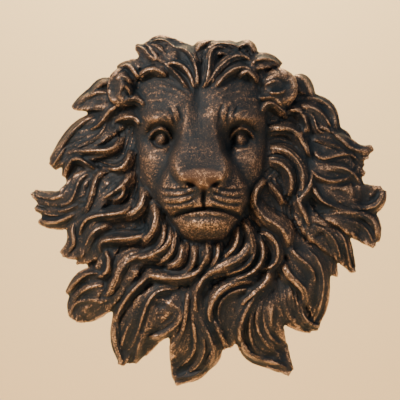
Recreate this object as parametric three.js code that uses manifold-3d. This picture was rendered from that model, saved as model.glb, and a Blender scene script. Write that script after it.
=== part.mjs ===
// Lion head wall planter: one hollow casting that hangs flat on a wall, in millimetres.
// X runs to the viewer's right, Z up, and the wall is the plane y = 0 with the lion looking along -Y.
// Depths are written as "out": the distance that a point stands off the wall.
import * as THREE from "three";
import { mergeVertices } from "three/addons/utils/BufferGeometryUtils.js";
import Module from "manifold-3d";

const wasm = await Module();
wasm.setup();

// Back plate: the part of the casting that lies on the wall, hidden behind the locks.
const plateHalfWidth = 128;
const plateRise = 132;
const plateDrop = 138;
const plateCentreZ = 12;
const brimReach = 1.08;
const brimBack = 12;

// Mane body: a dome that carries the locks, thicker over the pot.
const maneHalfWidth = 160;
const maneHalfHeight = 165;
const maneCentreZ = -5;
const maneOutAtTips = 22;
const maneCrown = 44;
const manePotRise = 27;
const manePotFoot = 60;
const manePotTop = 130;
const manePotInner = 55;
const manePotOuter = 125;
const maneRound = 0.8;
const lockSeat = 4;

// Pot: a tapered half-round pocket behind the head, open at the top.
const backWall = 10;
const potMouthHalfWidth = 74;
const potMouthDepth = 38;
const potFloorHalfWidth = 50;
const potFloorDepth = 28;
const potMouthZ = 150;
const potFloorZ = -30;
const potOvercut = 40;

// Keyhole through the back wall, above the line of the soil.
const keyholeZ = 100;
const keyholeHead = 12;
const keyholeSlot = 6;
const keyholeSlotLength = 16;
const keyholeOvercut = 3;

// Facets of the solids.
const domeTurns = 28;
const domeRings = [0.4, 0.68, 0.88, 1];
const faceRows = 28;
const faceColumns = 22;
const lockSteps = 5;
const ropeSteps = 5;
const earTurns = 10;
const earBands = 6;
const potFacets = 28;
const keyholeFacets = 10;
// Corners that lie closer than this are one, and a line's direction is read over this share of its way.
const weld = 1e-4;
const readAhead = 0.01;

const smooth = (low, high, value) => {
  const t = Math.min(1, Math.max(0, (value - low) / (high - low)));
  return t * t * (3 - 2 * t);
};
const bell = (x, z, cx, cz, rx, rz) => Math.exp(-(((x - cx) / rx) ** 2) - ((z - cz) / rz) ** 2);

/** How far the mane's carrying surface stands off the wall at (x, z). */
function maneOut(x, z) {
  const reach = (x / maneHalfWidth) ** 2 + ((z - maneCentreZ) / maneHalfHeight) ** 2;
  const dome = maneCrown * Math.max(0, 1 - reach) ** maneRound;
  const overPot = smooth(manePotFoot, manePotTop, z) * (1 - smooth(manePotInner, manePotOuter, Math.abs(x)));
  return maneOutAtTips + dome + manePotRise * overPot;
}

// Places of locks and ropes are written as they are seen straight from the front, on the plane of the
// lock tips, and drawn in towards the line of sight where the surface stands further off the wall.
const viewDistance = 1500;
const viewX = -2;
const tipPlane = 28;

/** The point (x, z) of the tips' plane, moved to where it lies on the mane. */
function drawnIn(x, z) {
  const share = (viewDistance - maneOut(x, z)) / (viewDistance - tipPlane);
  return [viewX + (x - viewX) * share, z * share];
}

/** One value of a list of levels, highest first, on an even curve at the height z. */
function levelAt(levels, z, key) {
  const last = levels.length - 1;
  if (z >= levels[0].z) return levels[0][key];
  if (z <= levels[last].z) return levels[last][key];
  const i = levels.findIndex((level) => level.z <= z);
  const slope = (at) => {
    if (at === 0 || at === last) return 0;
    return (levels[at - 1][key] - levels[at + 1][key]) / (levels[at - 1].z - levels[at + 1].z);
  };
  const gap = levels[i - 1].z - levels[i].z;
  const t = (z - levels[i].z) / gap;
  const rise = levels[i - 1][key] - levels[i][key];
  const start = slope(i) * gap;
  const end = slope(i - 1) * gap;
  return levels[i][key] + t * (start + t * (3 * rise - 2 * start - end + t * (start + end - 2 * rise)));
}

// The face in levels from the crown to the throat: height, middle, half width and depth.
const faceLevels = [
  { z: 142, x: -3, half: 46, out: 50 },
  { z: 124, x: -3, half: 62, out: 66 },
  { z: 106, x: -2, half: 66, out: 77 },
  { z: 84, x: -1, half: 66, out: 84 },
  { z: 60, x: -1, half: 66, out: 80 },
  { z: 36, x: -1, half: 64, out: 79 },
  { z: 22, x: -1, half: 62, out: 80 },
  { z: 9, x: -1, half: 56, out: 81 },
  { z: -6, x: 1, half: 46, out: 82 },
  { z: -26, x: 2.5, half: 34, out: 79 },
  { z: -37, x: 2.5, half: 27, out: 71 },
  { z: -48, x: 2.5, half: 15, out: 50 },
];
// The bridge of the nose, the muzzle and the leather at its tip, in levels of the same kind.
const bridgeLevels = [
  { z: 104, x: -3, half: 12, out: 0 },
  { z: 80, x: -2, half: 16, out: 5 },
  { z: 62, x: -3, half: 20.5, out: 13 },
  { z: 46, x: -3.5, half: 25, out: 19 },
  { z: 36, x: -2, half: 27.5, out: 21 },
  { z: 26, x: -1, half: 26, out: 20 },
  { z: 14, x: 0, half: 19, out: 10 },
  { z: 2, x: 0.5, half: 12, out: 0 },
];
const muzzleLevels = [
  { z: 40, x: -1, half: 28, out: 0 },
  { z: 28, x: -0.5, half: 35, out: 6 },
  { z: 14, x: 0.5, half: 40.5, out: 13 },
  { z: 0, x: 0.8, half: 40.5, out: 14.5 },
  { z: -10, x: 1.5, half: 37, out: 11 },
  { z: -18, x: 2, half: 32, out: 0 },
];
const leatherLevels = [
  { z: 33, x: -0.6, half: 21, out: 0 },
  { z: 29, x: -0.8, half: 22.5, out: 2.2 },
  { z: 22.5, x: -0.6, half: 21.5, out: 4.6 },
  { z: 19, x: 0, half: 15, out: 6.2 },
  { z: 14, x: 0.8, half: 6.5, out: 6.6 },
  { z: 7, x: 1, half: 2.5, out: 0 },
];
const faceEdgeOut = 44;
const faceFlat = 3;
const faceRound = 0.6;
const faceBack = 30;
const bridgeShoulder = 4.5;
const muzzleEdge = 5;
const leatherEdge = 2.5;
// Soft swells and hollows of the face: place, radii and how far each stands out.
const swells = [
  { name: "left brow", x: -45, z: 78, rx: 13, rz: 7.5, out: 8 },
  { name: "right brow", x: 43, z: 79, rx: 14, rz: 7.5, out: 8 },
  { name: "left frown", x: -26, z: 84, rx: 9, rz: 12, out: 4.5 },
  { name: "right frown", x: 21, z: 84, rx: 9, rz: 12, out: 4.5 },
  { name: "left forehead", x: -20, z: 102, rx: 12, rz: 14, out: 3 },
  { name: "right forehead", x: 14, z: 102, rx: 12, rz: 14, out: 3 },
  { name: "forehead groove", x: -3.5, z: 94, rx: 6.5, rz: 22, out: -3.4 },
  { name: "left cheek", x: -51, z: 37, rx: 13, rz: 15, out: 6 },
  { name: "right cheek", x: 49, z: 37, rx: 13, rz: 15, out: 6 },
  { name: "left socket", x: -40, z: 60, rx: 14.5, rz: 10.5, out: -13 },
  { name: "right socket", x: 37.6, z: 60, rx: 14.5, rz: 10.5, out: -13 },
  { name: "left tear hollow", x: -28, z: 55, rx: 6, rz: 12, out: -8 },
  { name: "right tear hollow", x: 27, z: 54, rx: 6, rz: 12, out: -9 },
  { name: "left eyeball", x: -40, z: 59.5, rx: 7, rz: 6, out: 8 },
  { name: "right eyeball", x: 37.6, z: 59.5, rx: 7, rz: 6, out: 8 },
  { name: "left pad", x: -21, z: 5, rx: 16, rz: 12, out: 8 },
  { name: "right pad", x: 22, z: 5, rx: 16, rz: 12, out: 8 },
  { name: "left of the nose", x: -25, z: 26, rx: 10, rz: 12, out: 5 },
  { name: "right of the nose", x: 24, z: 26, rx: 10, rz: 12, out: 5 },
  { name: "left nostril", x: -11.5, z: 14.5, rx: 6, rz: 3.4, out: -7 },
  { name: "right nostril", x: 12, z: 14.5, rx: 6, rz: 3.4, out: -7 },
  { name: "groove of the lip", x: 1.4, z: 1, rx: 3, rz: 10, out: -8 },
  { name: "chin", x: 2.5, z: -25, rx: 24, rz: 12.5, out: 14 },
];
const mouth = { x: 4, z: -8.5, fall: 0.0066, half: 33, ease: 5, width: 3.4, out: 11 };

/** The height at (x, z) of a form that stands out between two sides and is rounded off along them. */
function raised(levels, edge, x, z) {
  const past = Math.abs(x - levelAt(levels, z, "x")) - levelAt(levels, z, "half");
  return levelAt(levels, z, "out") * (1 - smooth(-edge, edge, past));
}

/** How far the face stands off the wall at (x, z). */
function faceOut(x, z) {
  const across = Math.abs(x - levelAt(faceLevels, z, "x")) / levelAt(faceLevels, z, "half");
  const deep = levelAt(faceLevels, z, "out") - faceEdgeOut;
  let out = faceEdgeOut + deep * Math.max(0, 1 - across ** faceFlat) ** faceRound;
  for (const swell of swells) {
    out += swell.out * bell(x, z, swell.x, swell.z, swell.rx, swell.rz);
  }
  out += raised(bridgeLevels, bridgeShoulder, x, z);
  out += raised(muzzleLevels, muzzleEdge, x, z);
  out += raised(leatherLevels, leatherEdge, x, z);
  const aside = Math.abs(x - mouth.x);
  const lip = z - (mouth.z - mouth.fall * aside ** 2);
  const open = 1 - smooth(mouth.half - mouth.ease, mouth.half + mouth.ease, aside);
  return out - mouth.out * Math.exp(-((lip / mouth.width) ** 2)) * open;
}

/** A closed solid from a list of corner triples and a list of triangles. */
function solid(corners, triangles) {
  const geometry = new THREE.BufferGeometry();
  geometry.setAttribute("position", new THREE.Float32BufferAttribute(corners.flat(), 3));
  geometry.setIndex(triangles.flat());
  return fromGeometry(geometry);
}

/** A solid of the joining library from a three.js geometry. */
function fromGeometry(source) {
  let geometry = source.clone();
  geometry.deleteAttribute("normal");
  geometry.deleteAttribute("uv");
  geometry = mergeVertices(geometry, weld);
  return new wasm.Manifold(new wasm.Mesh({
    numProp: 3,
    vertProperties: new Float32Array(geometry.attributes.position.array),
    triVerts: new Uint32Array(geometry.index.array),
  }));
}

/** The triangles between two neighbouring rings of corners. */
function band(first, second, count) {
  const triangles = [];
  for (let i = 0; i < count; i += 1) {
    const j = (i + 1) % count;
    triangles.push([first + i, second + i, second + j], [first + i, second + j, first + j]);
  }
  return triangles;
}

/** The solid through rings of corners, each of the same count, closed at both ends. */
function sweep(corners, count, steps) {
  const triangles = [];
  const end = steps * count;
  for (let step = 0; step < steps; step += 1) {
    triangles.push(...band(step * count, (step + 1) * count, count));
  }
  for (let i = 1; i < count - 1; i += 1) {
    triangles.push([0, i, i + 1], [end, end + i + 1, end + i]);
  }
  return solid(corners, triangles);
}

/** The dome under the locks and the flat back plate, as one solid. */
function domeAndPlate() {
  const rings = domeRings.map((share) => [share * brimReach, null]);
  rings.push([brimReach, brimBack], [1, brimBack], [1, 0]);
  const corners = [[0, -maneOut(0, plateCentreZ), plateCentreZ]];
  for (const [share, out] of rings) {
    for (let turn = 0; turn < domeTurns; turn += 1) {
      const angle = (2 * Math.PI * turn) / domeTurns;
      const tall = Math.sin(angle) > 0 ? plateRise : plateDrop;
      const x = plateHalfWidth * share * Math.cos(angle);
      const z = plateCentreZ + tall * share * Math.sin(angle);
      corners.push([x, -(out === null ? maneOut(x, z) - lockSeat : out), z]);
    }
  }
  corners.push([0, 0, plateCentreZ]);
  const back = corners.length - 1;
  const triangles = [];
  for (let ring = 0; ring < rings.length - 1; ring += 1) {
    triangles.push(...band(1 + ring * domeTurns, 1 + (ring + 1) * domeTurns, domeTurns));
  }
  for (let turn = 0; turn < domeTurns; turn += 1) {
    const next = (turn + 1) % domeTurns;
    triangles.push([0, 1 + turn, 1 + next], [back, back - domeTurns + next, back - domeTurns + turn]);
  }
  return solid(corners, triangles);
}

/** The face as a block of rows from the crown to the throat, with its back buried in the dome. */
function faceBlock() {
  const corners = [];
  const top = faceLevels[0].z;
  const foot = faceLevels[faceLevels.length - 1].z;
  const ring = faceColumns + 3;
  for (let row = 0; row <= faceRows; row += 1) {
    const z = THREE.MathUtils.lerp(top, foot, row / faceRows);
    const middle = levelAt(faceLevels, z, "x");
    const half = levelAt(faceLevels, z, "half");
    for (let column = 0; column <= faceColumns; column += 1) {
      const x = middle + half * (-1 + (2 * column) / faceColumns);
      corners.push([x, -faceOut(x, z), z]);
    }
    corners.push([middle + half, -faceBack, z], [middle - half, -faceBack, z]);
  }
  return sweep(corners, ring, faceRows);
}

// The mane's locks: root and tip on the wall plane, greatest width, bow and sway of the middle
// line (positive to the left of the way from root to tip) and how far the lock rides off the dome.
const locks = [
  ["top tuft", -6.5, 134, 9, 158, 13, 2, 0, 0],
  ["top left out", -15, 138, -45, 162, 18, -6, 0, 0],
  ["top left arch", -5, 114, -36, 150, 12, -12, 0, 4],
  ["top left hook", -25, 131, -66, 154, 13, 3, -2, 2],
  ["top left low", -32, 121, -73, 138, 13, -4, 0, 0],
  ["top left middle", -24, 129, -55, 160, 27, 0, 0, 0],
  ["over left ear", -50, 133, -79, 134, 11, -3, 0, 0],
  ["top right arch", 3, 141, 41, 148, 12, 7, 0, 2],
  ["top right out", 25, 134, 49, 154, 14, 5, 0, 0],
  ["top right mid", 15, 127, 50, 140, 11, 5, 0, 4],
  ["over right ear", 36, 129, 78, 136, 16, 5, 0, 0],
  ["behind right ear", 86, 120, 110, 101, 16, 5, 0, 0],
  ["behind left ear", -86, 110, -120, 103, 14, -4, 0, -2],
  ["left one", -82, 96, -130, 92, 20, -4, 0, 2],
  ["left two", -80, 82, -152, 34, 30, -3, 0, 0],
  ["left two low", -82, 62, -142, 34, 12, 3, 3, 0],
  ["left three", -102, 30, -172, 7, 18, 12, -6, 2],
  ["left four", -110, 10, -164, -21, 18, 12, -3, 0],
  ["left three low", -104, 16, -168, -8, 23, 6, 0, 0],
  ["left five", -74, 32, -141, -54, 22, -3, -4, 4],
  ["left six", -90, -16, -140, -56, 20, 0, -6, 2],
  ["left six low", -90, -28, -126, -64, 14, 5, 0, 0],
  ["left seven", -84, -40, -130, -90, 14, 8, -3, 4],
  ["left seven tip", -94, -76, -129, -120, 25, -4, 0, 2],
  ["left seven end", -80, -88, -126, -121, 22, 2, 0, 0],
  ["left eight", -60, -56, -96, -102, 22, 0, -2, 3],
  ["left nine", -26, -86, -81, -166, 35, -11, 0, 1],
  ["left nine lobe", -18, -92, -52, -134, 24, 4, 0, 3],
  ["left nine low", -34, -122, -74, -164, 14, 2, 0, -3],
  ["low one", 2, -78, -27, -184, 24, 16, -9, 4],
  ["low one left", -12, -88, -27, -180, 31, 3, 0, 0],
  ["low two", 56, -80, 24, -150, 14, -22, 0, 5],
  ["low two in", 48, -88, 30, -148, 18, -8, 0, 0],
  ["low three", 66, -78, 89, -174, 28, -21, 3, 2],
  ["low three right", 78, -85, 90, -168, 22, -13, 0, 0],
  ["low four", 74, -80, 110, -131, 29, -6, 0, 0],
  ["low five", 88, -40, 115, -124, 32, 9, 0, 2],
  ["right one", 98, 0, 152, -73, 26, -2, -4, 2],
  ["right one low", 108, -40, 136, -77, 18, 0, 0, -3],
  ["right two", 114, -5, 173, -47, 26, 6, 0, 2],
  ["right three", 106, 22, 181, 12, 28, -15, -2, 3],
  ["right four", 102, 40, 158, 19, 20, -5, 0, 2],
  ["right five", 106, 72, 170, 53, 18, -9, 2, 2],
  ["right five low", 106, 56, 164, 26, 24, -3, 0, 0],
  ["right five middle", 112, 66, 167, 43, 26, -2, 0, 0],
  ["right five back", 123, 70, 150, 57, 14, 3, 0, -4],
  ["right six", 94, 100, 132, 66, 22, 6, 0, 2],
].map(([name, rootX, rootZ, tipX, tipZ, width, bow, sway, ride]) => (
  { name, root: [rootX, rootZ], tip: [tipX, tipZ], width, bow, sway, ride }));

// A lock's section: a flat leaf with sloped sides. Its two feet reach through the dome, and past the
// dome they are the lock's flat underside.
const lockSection = [[-1, 0], [-0.8, 0.72], [0.8, 0.72], [1, 0]];
const lockBackAtTips = 14;
const lockFootShare = 0.5;
const lockRise = 0.4;
const lockRiseMost = 9;
const lockRiseLeast = 4;
const lockRoot = 0.6;
const lockBelly = 0.42;
const lockEnd = 0.24;
const lockTaper = 2.2;
const lockTaperRound = 0.65;

/** A lock's width at t as a share of its greatest width: narrow root, full belly, drawn-out tip. */
function lockShare(t) {
  if (t < lockBelly) return lockRoot + (1 - lockRoot) * Math.sin((Math.PI / 2) * (t / lockBelly));
  return Math.max(lockEnd, (1 - ((t - lockBelly) / (1 - lockBelly)) ** lockTaper) ** lockTaperRound);
}

/** The middle line of a lock at t, as a point on the wall plane. */
function lockMiddle(lock, t) {
  const dx = lock.tip[0] - lock.root[0];
  const dz = lock.tip[1] - lock.root[1];
  const length = Math.hypot(dx, dz);
  const off = 4 * lock.bow * t * (1 - t) + lock.sway * Math.sin(2 * Math.PI * t);
  return [lock.root[0] + dx * t - (dz / length) * off, lock.root[1] + dz * t + (dx / length) * off];
}

/** One lock as a closed sweep of its section from root to tip. */
function lockSolid(lock) {
  const rise = THREE.MathUtils.clamp(lockRise * lock.width, lockRiseLeast, lockRiseMost);
  const corners = [];
  for (let step = 0; step <= lockSteps; step += 1) {
    const t = step / lockSteps;
    const [x, z] = lockMiddle(lock, t);
    const [xa, za] = lockMiddle(lock, t - readAhead);
    const [xb, zb] = lockMiddle(lock, t + readAhead);
    const run = Math.hypot(xb - xa, zb - za);
    const side = [-(zb - za) / run, (xb - xa) / run];
    const half = (lock.width / 2) * lockShare(t);
    const high = rise * Math.sqrt(lockShare(t));
    for (const [across, up] of lockSection) {
      const [px, pz] = drawnIn(x + side[0] * half * across, z + side[1] * half * across);
      const dome = maneOut(px, pz);
      const foot = lockBackAtTips + lock.ride / 2 + lockFootShare * (dome - maneOutAtTips);
      corners.push([px, -(up > 0 ? dome + lock.ride + high * up : foot), pz]);
    }
  }
  return sweep(corners, lockSection.length, lockSteps);
}

// The mane's ropes of hair, laid over the locks: the four places that each one passes on its way, from
// the root on, and its width.
const ropes = [
  ["left leaf crest", -71, 29, -78, 14, -90, 6, -102, -3, 7],
  ["left two fold", -82, 94, -94, 87, -101, 77, -115, 69, 6.5],
  ["cheek left rope", -57, 13, -60, -3, -68, -12, -79, -16, 6.5],
  ["left six rope", -67, 0, -88, -14, -114, -17, -120, -45, 7],
  ["left seven root", -50, 0, -46, -20, -52, -34, -62, -42, 7.5],
  ["left seven rope", -55, -32, -74, -38, -98, -41, -96, -58, 6.5],
  ["left eight root", -32, -28, -35, -44, -48, -54, -67, -59, 7.5],
  ["left eight rope", -55, -56, -76, -61, -86, -79, -99, -100, 9],
  ["left nine root", 3, -61, -12, -75, -36, -77, -57, -74, 7],
  ["left nine inner", -24, -89, -50, -96, -60, -120, -71, -147, 6.5],
  ["low one root", 22, -69, 1, -79, -7, -98, -4, -119, 6.5],
  ["low one rope", -6, -111, 5, -133, 11, -152, 1, -167, 7.5],
  ["beard right rim", 47, -36, 39, -56, 20, -66, 1, -79, 9],
  ["low two rope", 55, -80, 24, -87, 8, -106, 13, -126, 6.5],
  ["low two root", 67, -67, 62, -84, 50, -94, 37, -109, 6.5],
  ["low three rim", 60, -88, 47, -105, 38, -126, 40, -143, 6.5],
  ["low three foot", 39, -135, 50, -155, 70, -161, 89, -172, 6.5],
  ["right nine rope", 83, -60, 90, -78, 102, -90, 99, -110, 9],
  ["right nine edge", 104, -50, 120, -65, 123, -90, 111, -118, 6.5],
  ["right three rope", 65, 69, 88, 70, 100, 59, 108, 41, 6.5],
  ["right four rope", 67, 38, 81, 35, 89, 22, 87, 4, 6.5],
  ["right five rope", 69, 50, 90, 44, 101, 23, 95, 3, 7.5],
  ["cheek right rope", 56, 1, 62, -16, 79, -27, 86, -49, 9.5],
  ["right eight rope", 106, -27, 121, -30, 132, -42, 137, -63, 7],
  ["right seven rope", 123, -13, 148, -12, 168, -20, 174, -42, 7.5],
  ["right six tip", 142, -3, 163, -8, 177, -2, 182, 10, 6.5],
  ["right two leaf", 95, 93, 110, 91, 121, 83, 129, 69, 7.5],
  ["crown right main", -1, 109, 7, 130, 10, 150, 30, 149, 6.5],
  ["crown left main", -5, 109, -6, 133, -15, 149, -32, 150, 6.5],
  ["beard one", 4, -42, 5, -52, 2, -62, -5, -69, 7],
  ["beard three", -19, -42, -20, -54, -25, -63, -38, -67, 6.5],
].map(([name, x0, z0, x1, z1, x2, z2, x3, z3, width]) => (
  { name, places: [[x0, z0], [x1, z1], [x2, z2], [x3, z3]], width }));
const ropeSpread = 0.85;
const ropeEnd = 0.4;
const ropeLift = 6.5;
const ropeLiftShare = 0.62;
const ropeLow = 3;
const ropeSink = 5;
// A rope is as high as a sine arch between these shares of a half turn: low at its root, lower at its tip.
const archStart = 0.06;
const archEnd = 0.92;

/** The middle line of a rope at t: an even curve through its four places. */
function ropeMiddle(rope, t) {
  const shares = [
    -4.5 * (t - 1 / 3) * (t - 2 / 3) * (t - 1),
    13.5 * t * (t - 2 / 3) * (t - 1),
    -13.5 * t * (t - 1 / 3) * (t - 1),
    4.5 * t * (t - 1 / 3) * (t - 2 / 3),
  ];
  return [0, 1].map((axis) => shares.reduce((sum, share, i) => sum + share * rope.places[i][axis], 0));
}

/** One rope as a closed sweep of a ridge with its feet in the dome. */
function ropeSolid(rope) {
  const corners = [];
  for (let step = 0; step <= ropeSteps; step += 1) {
    const t = step / ropeSteps;
    const [x, z] = ropeMiddle(rope, t);
    const [xa, za] = ropeMiddle(rope, t - readAhead);
    const [xb, zb] = ropeMiddle(rope, t + readAhead);
    const run = Math.hypot(xb - xa, zb - za);
    const arch = Math.sin(Math.PI * THREE.MathUtils.lerp(archStart, archEnd, t));
    const half = ropeSpread * rope.width * (ropeEnd + (1 - ropeEnd) * arch);
    const top = ropeLow + (ropeLift + ropeLiftShare * rope.width - ropeLow) * arch;
    for (const [across, up] of [[-1, -ropeSink], [0, top], [1, -ropeSink]]) {
      const aside = half * across;
      const [px, pz] = drawnIn(x - ((zb - za) / run) * aside, z + ((xb - xa) / run) * aside);
      corners.push([px, -(maneOut(px, pz) + up), pz]);
    }
  }
  return sweep(corners, 3, ropeSteps);
}

// Ears: an egg with a hollow pressed into it, turned a little outwards.
const ears = [
  { x: 78, z: 113, out: 50, half: 17, tall: 17, deep: 15, turn: 0.35 },
  { x: -79, z: 112, out: 50, half: 13, tall: 18, deep: 15, turn: -0.75 },
];
const earFlesh = 4.5;
const earHollow = 0.75;

/** One ear: the shell of an egg whose front is pressed in. */
function earSolid(ear) {
  const egg = (half, tall, deep, forward) => {
    const geometry = new THREE.SphereGeometry(1, earTurns, earBands);
    geometry.scale(half, deep, tall);
    geometry.translate(0, -forward, 0);
    geometry.rotateZ(ear.turn);
    geometry.translate(ear.x, -ear.out, ear.z);
    return fromGeometry(geometry);
  };
  const hollow = egg(ear.half - earFlesh, ear.tall - earFlesh, ear.deep, ear.deep * earHollow);
  return egg(ear.half, ear.tall, ear.deep, 0).subtract(hollow);
}

/** The pocket that is cut from the casting: half of a tapered round bucket in front of the back wall. */
function potSpace() {
  const height = potMouthZ + potOvercut - potFloorZ;
  const bucket = new THREE.CylinderGeometry(1, 1, height, potFacets, 1);
  bucket.rotateX(Math.PI / 2);
  bucket.translate(0, 0, potFloorZ + height / 2);
  const place = bucket.attributes.position;
  for (let i = 0; i < place.count; i += 1) {
    const rise = (place.getZ(i) - potFloorZ) / (potMouthZ - potFloorZ);
    const halfWidth = potFloorHalfWidth + (potMouthHalfWidth - potFloorHalfWidth) * rise;
    const depth = potFloorDepth + (potMouthDepth - potFloorDepth) * rise;
    place.setXY(i, place.getX(i) * halfWidth, place.getY(i) * depth - backWall);
  }
  const reach = 2 * potMouthDepth;
  const front = new THREE.BoxGeometry(4 * potMouthHalfWidth, reach, height + 2);
  front.translate(0, -backWall - reach / 2, potFloorZ + height / 2);
  return fromGeometry(bucket).intersect(fromGeometry(front));
}

/** The keyhole: a round head below a narrow slot, through the back wall. */
function keyholeSpace() {
  const outline = new THREE.Shape();
  const slot = keyholeSlot / 2;
  const head = keyholeHead / 2;
  const meet = Math.asin(slot / head);
  outline.absarc(0, 0, head, Math.PI / 2 + meet, Math.PI / 2 - meet + 2 * Math.PI, false);
  outline.absarc(0, keyholeSlotLength - slot, slot, 0, Math.PI, false);
  const cut = new THREE.ExtrudeGeometry(outline, {
    depth: backWall + 2 * keyholeOvercut,
    bevelEnabled: false,
    curveSegments: keyholeFacets,
  });
  cut.rotateX(Math.PI / 2);
  cut.translate(0, keyholeOvercut, keyholeZ);
  return fromGeometry(cut);
}

/** The whole casting as a three.js geometry. */
function casting() {
  let form = domeAndPlate().add(faceBlock());
  for (const lock of locks) {
    form = form.add(lockSolid(lock));
  }
  for (const rope of ropes) {
    form = form.add(ropeSolid(rope));
  }
  for (const ear of ears) {
    form = form.add(earSolid(ear));
  }
  form = form.subtract(potSpace()).subtract(keyholeSpace());
  const mesh = form.getMesh();
  const geometry = new THREE.BufferGeometry();
  geometry.setAttribute("position", new THREE.BufferAttribute(new Float32Array(mesh.vertProperties), 3));
  geometry.setIndex(new THREE.BufferAttribute(new Uint32Array(mesh.triVerts), 1));
  geometry.computeVertexNormals();
  return geometry;
}

const bronzePatina = new THREE.MeshStandardMaterial({ color: 0x4a3a32, roughness: 0.55, metalness: 0.6 });
const planter = new THREE.Mesh(casting(), bronzePatina);
planter.name = "lion_head_planter";

const group = new THREE.Group();
group.add(planter);

export default group;
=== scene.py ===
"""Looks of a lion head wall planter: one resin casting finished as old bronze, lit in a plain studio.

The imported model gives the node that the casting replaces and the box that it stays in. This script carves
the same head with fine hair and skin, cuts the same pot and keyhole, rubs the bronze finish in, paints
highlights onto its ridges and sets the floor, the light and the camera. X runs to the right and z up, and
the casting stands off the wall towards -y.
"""

import logging
import math
from dataclasses import dataclass, field
from typing import Any, Sequence

import bmesh
import bpy
import numpy as np
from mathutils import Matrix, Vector
from mathutils.kdtree import KDTree


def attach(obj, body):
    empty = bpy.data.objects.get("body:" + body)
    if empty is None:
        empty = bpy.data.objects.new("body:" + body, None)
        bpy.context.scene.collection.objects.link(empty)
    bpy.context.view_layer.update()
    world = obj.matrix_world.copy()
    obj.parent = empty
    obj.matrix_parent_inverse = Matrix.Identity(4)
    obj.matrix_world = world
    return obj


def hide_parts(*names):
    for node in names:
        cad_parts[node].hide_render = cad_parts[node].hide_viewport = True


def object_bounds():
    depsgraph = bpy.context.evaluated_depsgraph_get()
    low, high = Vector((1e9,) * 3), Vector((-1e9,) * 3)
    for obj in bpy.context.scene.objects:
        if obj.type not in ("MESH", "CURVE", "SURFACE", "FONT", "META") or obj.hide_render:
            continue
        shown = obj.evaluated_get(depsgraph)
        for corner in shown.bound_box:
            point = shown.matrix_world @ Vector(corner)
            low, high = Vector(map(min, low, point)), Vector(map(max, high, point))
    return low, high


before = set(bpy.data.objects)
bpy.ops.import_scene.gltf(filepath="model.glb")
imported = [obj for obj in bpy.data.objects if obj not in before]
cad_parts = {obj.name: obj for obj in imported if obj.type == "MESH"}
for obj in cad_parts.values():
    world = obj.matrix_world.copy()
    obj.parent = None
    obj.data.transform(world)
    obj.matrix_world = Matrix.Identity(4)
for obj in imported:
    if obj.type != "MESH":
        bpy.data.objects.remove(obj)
CAD_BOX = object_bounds()

NODE = "lion_head_planter"
PIECE = "lion_head_casting"
SLOT = "bronze_patina"
MM = 0.001
SEED = 20
VIEW_DISTANCE = 1500.0
VIEW_X = -2.0
TIP_PLANE = 28.0
BACKDROP_Y = 2.4
STROKE_START = (-0.06, 0.16)
STROKE_END = (0.84, 1.06)

log = logging.getLogger("lion_head")

Array = np.ndarray
Loop = list[int]
Pair = tuple[float, float]
Triple = tuple[float, float, float]


def smooth(low: float, high: float, value: Array) -> Array:
    """Ease from 0 at low to 1 at high."""
    share = np.clip((value - low) / (high - low), 0.0, 1.0)
    return share * share * (3.0 - 2.0 * share)


def window(start: Pair, end: Pair, value: Array) -> Array:
    """Ease from 0 to 1 over start, and back to 0 over end."""
    return smooth(*start, value) * (1.0 - smooth(*end, value))


def bell(x: Array, z: Array, middle: Pair, radii: Pair) -> Array:
    """A round swelling of height 1.

    Args:
        x: Places across, in mm.
        z: Places up, in mm.
        middle: The swelling's middle.
        radii: Its reach across and up.

    Returns:
        The height at each place.
    """
    return np.exp(-(((x - middle[0]) / radii[0]) ** 2) - ((z - middle[1]) / radii[1]) ** 2)


def heading(x: Array, z: Array) -> tuple[Array, Array, Array]:
    """A line's direction across and up at each of its places, and the way between places."""
    run_x, run_z = np.gradient(x), np.gradient(z)
    run = np.hypot(run_x, run_z)
    return run_x / run, run_z / run, run


def beside(x: Array, z: Array, half: Array, across: Array) -> tuple[Array, Array]:
    """Places on both sides of a line, one row for each place of the line.

    Args:
        x: The line's places across, in mm.
        z: Its places up, in mm.
        half: How far the sides reach at each place, in mm.
        across: Where the columns lie, as shares of that reach.

    Returns:
        The places across and up.
    """
    ahead_x, ahead_z, _ = heading(x, z)
    px = x[:, None] - ahead_z[:, None] * half[:, None] * across
    pz = z[:, None] + ahead_x[:, None] * half[:, None] * across
    return px, pz


def drawn_in(x: Array, z: Array, out: Array) -> tuple[Array, Array]:
    """Places seen straight from the front at the tips' plane, moved to where they lie at another depth.

    Args:
        x: Places across, in mm.
        z: Places up, in mm.
        out: How far they stand off the wall, in mm.

    Returns:
        The places across and up.
    """
    share = (VIEW_DISTANCE - out) / (VIEW_DISTANCE - TIP_PLANE)
    return VIEW_X + (x - VIEW_X) * share, z * share


def link_tube(corners: Array) -> tuple[Array, list[Loop]]:
    """Corners and faces of a closed shell.

    Args:
        corners: Rows by columns, in mm. Each row is a closed ring, and the first and last rings are capped.

    Returns:
        Corners in metres, one row each, and faces.
    """
    rows, count = corners.shape[0] - 1, corners.shape[1]
    here = np.arange(count)
    after = (here + 1) % count
    faces: list[Loop] = []
    for row in range(rows):
        first, second = row * count, (row + 1) * count
        quads = np.stack([first + here, second + here, second + after, first + after], axis=1)
        faces.extend(quads.tolist())
    faces.append(list(range(count)))
    faces.append([rows * count + i for i in reversed(range(count))])
    return corners.reshape(-1, 3) * MM, faces


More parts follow.
